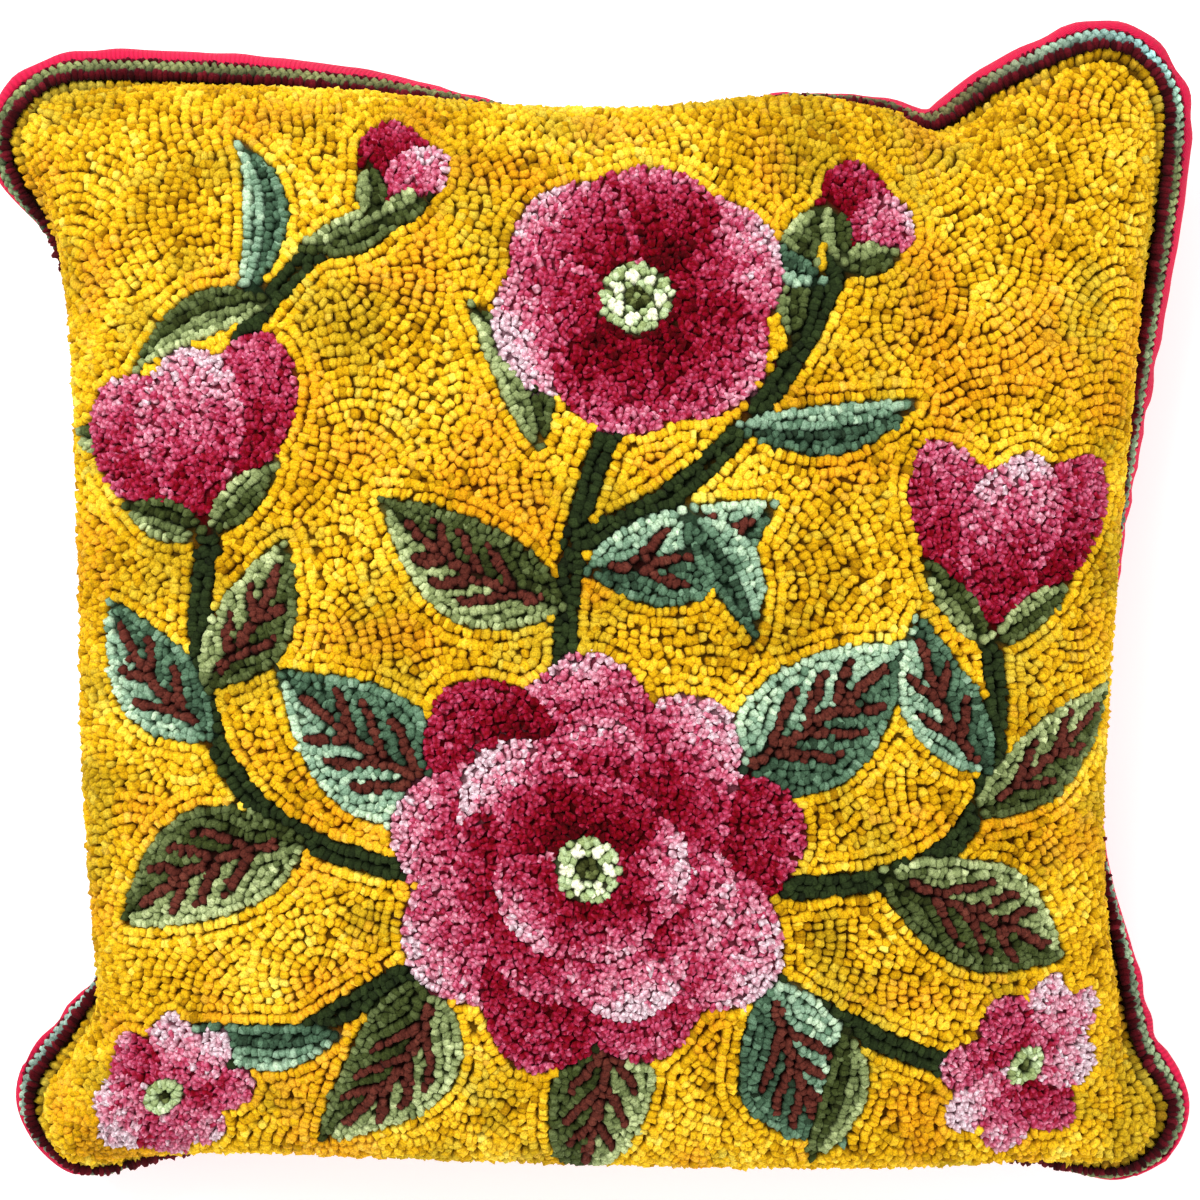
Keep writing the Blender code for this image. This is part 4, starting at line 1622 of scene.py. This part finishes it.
def make_back():
    """The back cloth, one sheet with its own thickness, laid over the filling's back. The fold's
    height is x times e to the power of 1 - x, where x is 1 at its top."""
    fine = crowded_line(BACK_GRID)
    s, t = np.meshgrid(fine, fine)
    reach = np.maximum(np.abs(s), np.abs(t))
    x = (1 - reach) / FOLD_AT
    lift = GAP + CLOTH + MM * (FOLD * x * np.exp(1 - x) + np.clip(pucker(s, t), -1.4, 0.6))
    points = back(s, t) + back_outwards(s, t) * lift[..., None] + shift
    _, runs, _ = seam_frame(s, t)
    points -= runs * (BACK_IN * MM * reach**EDGE_POWER)[..., None]
    points[..., 2] = np.maximum(points[..., 2], 0)
    mesh = mesh_from("back_cloth_sheet", points.reshape(-1, 3), grid_faces(BACK_GRID, BACK_GRID))
    uneven = patches(s.ravel() * DYE_HALF, t.ravel() * DYE_HALF, DYE_PATCH, 5)
    dye_mesh(mesh, PINK_CLOTH * (0.94 + 0.1 * uneven[:, None]))
    cloth = mesh.uv_layers.new(name="cloth")
    corner = np.zeros(len(mesh.loops), np.int32)
    mesh.loops.foreach_get("vertex_index", corner)
    flat = np.column_stack((s.ravel(), t.ravel())) / 2 + 0.5
    cloth.data.foreach_set("uv", flat[corner].astype(np.float32).ravel())
    piece = add_piece("back_cloth_sheet", mesh, pink_cotton)
    thickness = piece.modifiers.new("cloth thickness", "SOLIDIFY")
    thickness.thickness = SHEET
    thickness.offset = -1
    thickness.use_even_offset = False
    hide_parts("back_cloth")
    return piece


back_sheet = make_back()
print("back cloth:", len(back_sheet.data.polygons), "faces")

# %% [markdown]
# ## Floor, light and camera
# The cushion was photographed from straight above, lying on its back in soft even light, a
# little stronger from the upper left. The floor is plain and nearly white, and a wide lamp and a
# bright sky keep the shadows soft. The camera stands where the solids' outline matches the
# photograph's: 1.6 m away, with a long lens, turned a little on its axis.

# %% The floor
FLOOR_HALF = 12.0
FLOOR_AT = -0.4 * MM
FLOOR_GLOW = 0.34


def make_floor():
    """A plain pale square under the cushion, just below it. It glows a little, as paper on a
    light table does, which keeps it white where the pink cloth throws its colour on it. A Mix
    node's colours are its inputs number 6 and 7."""
    corners = np.array(((-1, -1), (1, -1), (1, 1), (-1, 1))) * FLOOR_HALF
    points = np.column_stack((corners, np.full(4, FLOOR_AT)))
    mesh = mesh_from("floor", points, np.array(((0, 1, 2, 3),)), smooth=False)
    material, tree = new_material("matt white paper")
    place = add_node(tree, "ShaderNodeTexCoord")
    grain = add_node(
        tree,
        "ShaderNodeTexNoise",
        {"Scale": 4.0, "Detail": 3.0},
        Vector=place.outputs["Object"],
    )
    tint = add_node(tree, "ShaderNodeMix", {"data_type": "RGBA"}, Factor=grain.outputs["Fac"])
    for number, code in ((6, "#f4f3f1"), (7, "#fbfaf8")):
        tint.inputs[number].default_value = (*linear(hex_colours(code)[0]), 1)
    shader = add_node(
        tree,
        "ShaderNodeBsdfPrincipled",
        {"Roughness": 0.9, "Emission Color": (1, 1, 1, 1), "Emission Strength": FLOOR_GLOW},
        Base_Color=tint.outputs[2],
    )
    add_node(tree, "ShaderNodeOutputMaterial", Surface=shader.outputs["BSDF"])
    mesh.materials.append(material)
    put_in_scene("floor", mesh)


make_floor()

# %% Light
def add_lamp(name, place, size, power):
    """A square area lamp that shines at the middle of the cushion."""
    lamp = bpy.data.lights.new(name, "AREA")
    lamp.shape = "SQUARE"
    lamp.size = size
    lamp.energy = power
    holder = put_in_scene(name, lamp)
    holder.location = place
    holder.rotation_euler = (-Vector(place)).to_track_quat("-Z", "Y").to_euler()


add_lamp("wide lamp", (-0.8, 1.0, 1.8), 1.1, 42)
add_lamp("fill lamp", (1.5, -1.2, 1.1), 1.6, 21)

world = bpy.data.worlds.new("bright sky")
world.use_nodes = True
sky = world.node_tree.nodes["Background"]
sky.inputs["Color"].default_value = (1.0, 1.0, 1.0, 1.0)
sky.inputs["Strength"].default_value = 0.7
bpy.context.scene.world = world
bpy.context.scene.view_settings.view_transform = "Standard"

# %% Camera
TARGET = Vector((0.0026, 0.0035, 0.066))
TILT_UP = -1.0
TILT_RIGHT = 0.04
ROLL = -0.5
DISTANCE = 1.6
LENS = 123
SENSOR = 36


def make_camera():
    """A camera that looks at TARGET from DISTANCE, tilted up and to the right, then rolled."""
    up, right, roll = np.radians((TILT_UP, TILT_RIGHT, ROLL))
    back_way = Vector((np.sin(right), np.sin(up), np.cos(up) * np.cos(right))).normalized()
    y = Vector((0, 1, 0))
    y = (y - back_way * back_way.dot(y)).normalized()
    x = y.cross(back_way)
    x, y = x * np.cos(roll) + y * np.sin(roll), y * np.cos(roll) - x * np.sin(roll)
    lens = bpy.data.cameras.new("camera")
    lens.lens = LENS
    lens.sensor_width = SENSOR
    holder = put_in_scene("camera", lens)
    turn = Matrix((x, y, back_way)).transposed().to_4x4()
    holder.matrix_world = Matrix.Translation(TARGET + back_way * DISTANCE) @ turn
    return holder


bpy.context.scene.camera = make_camera()
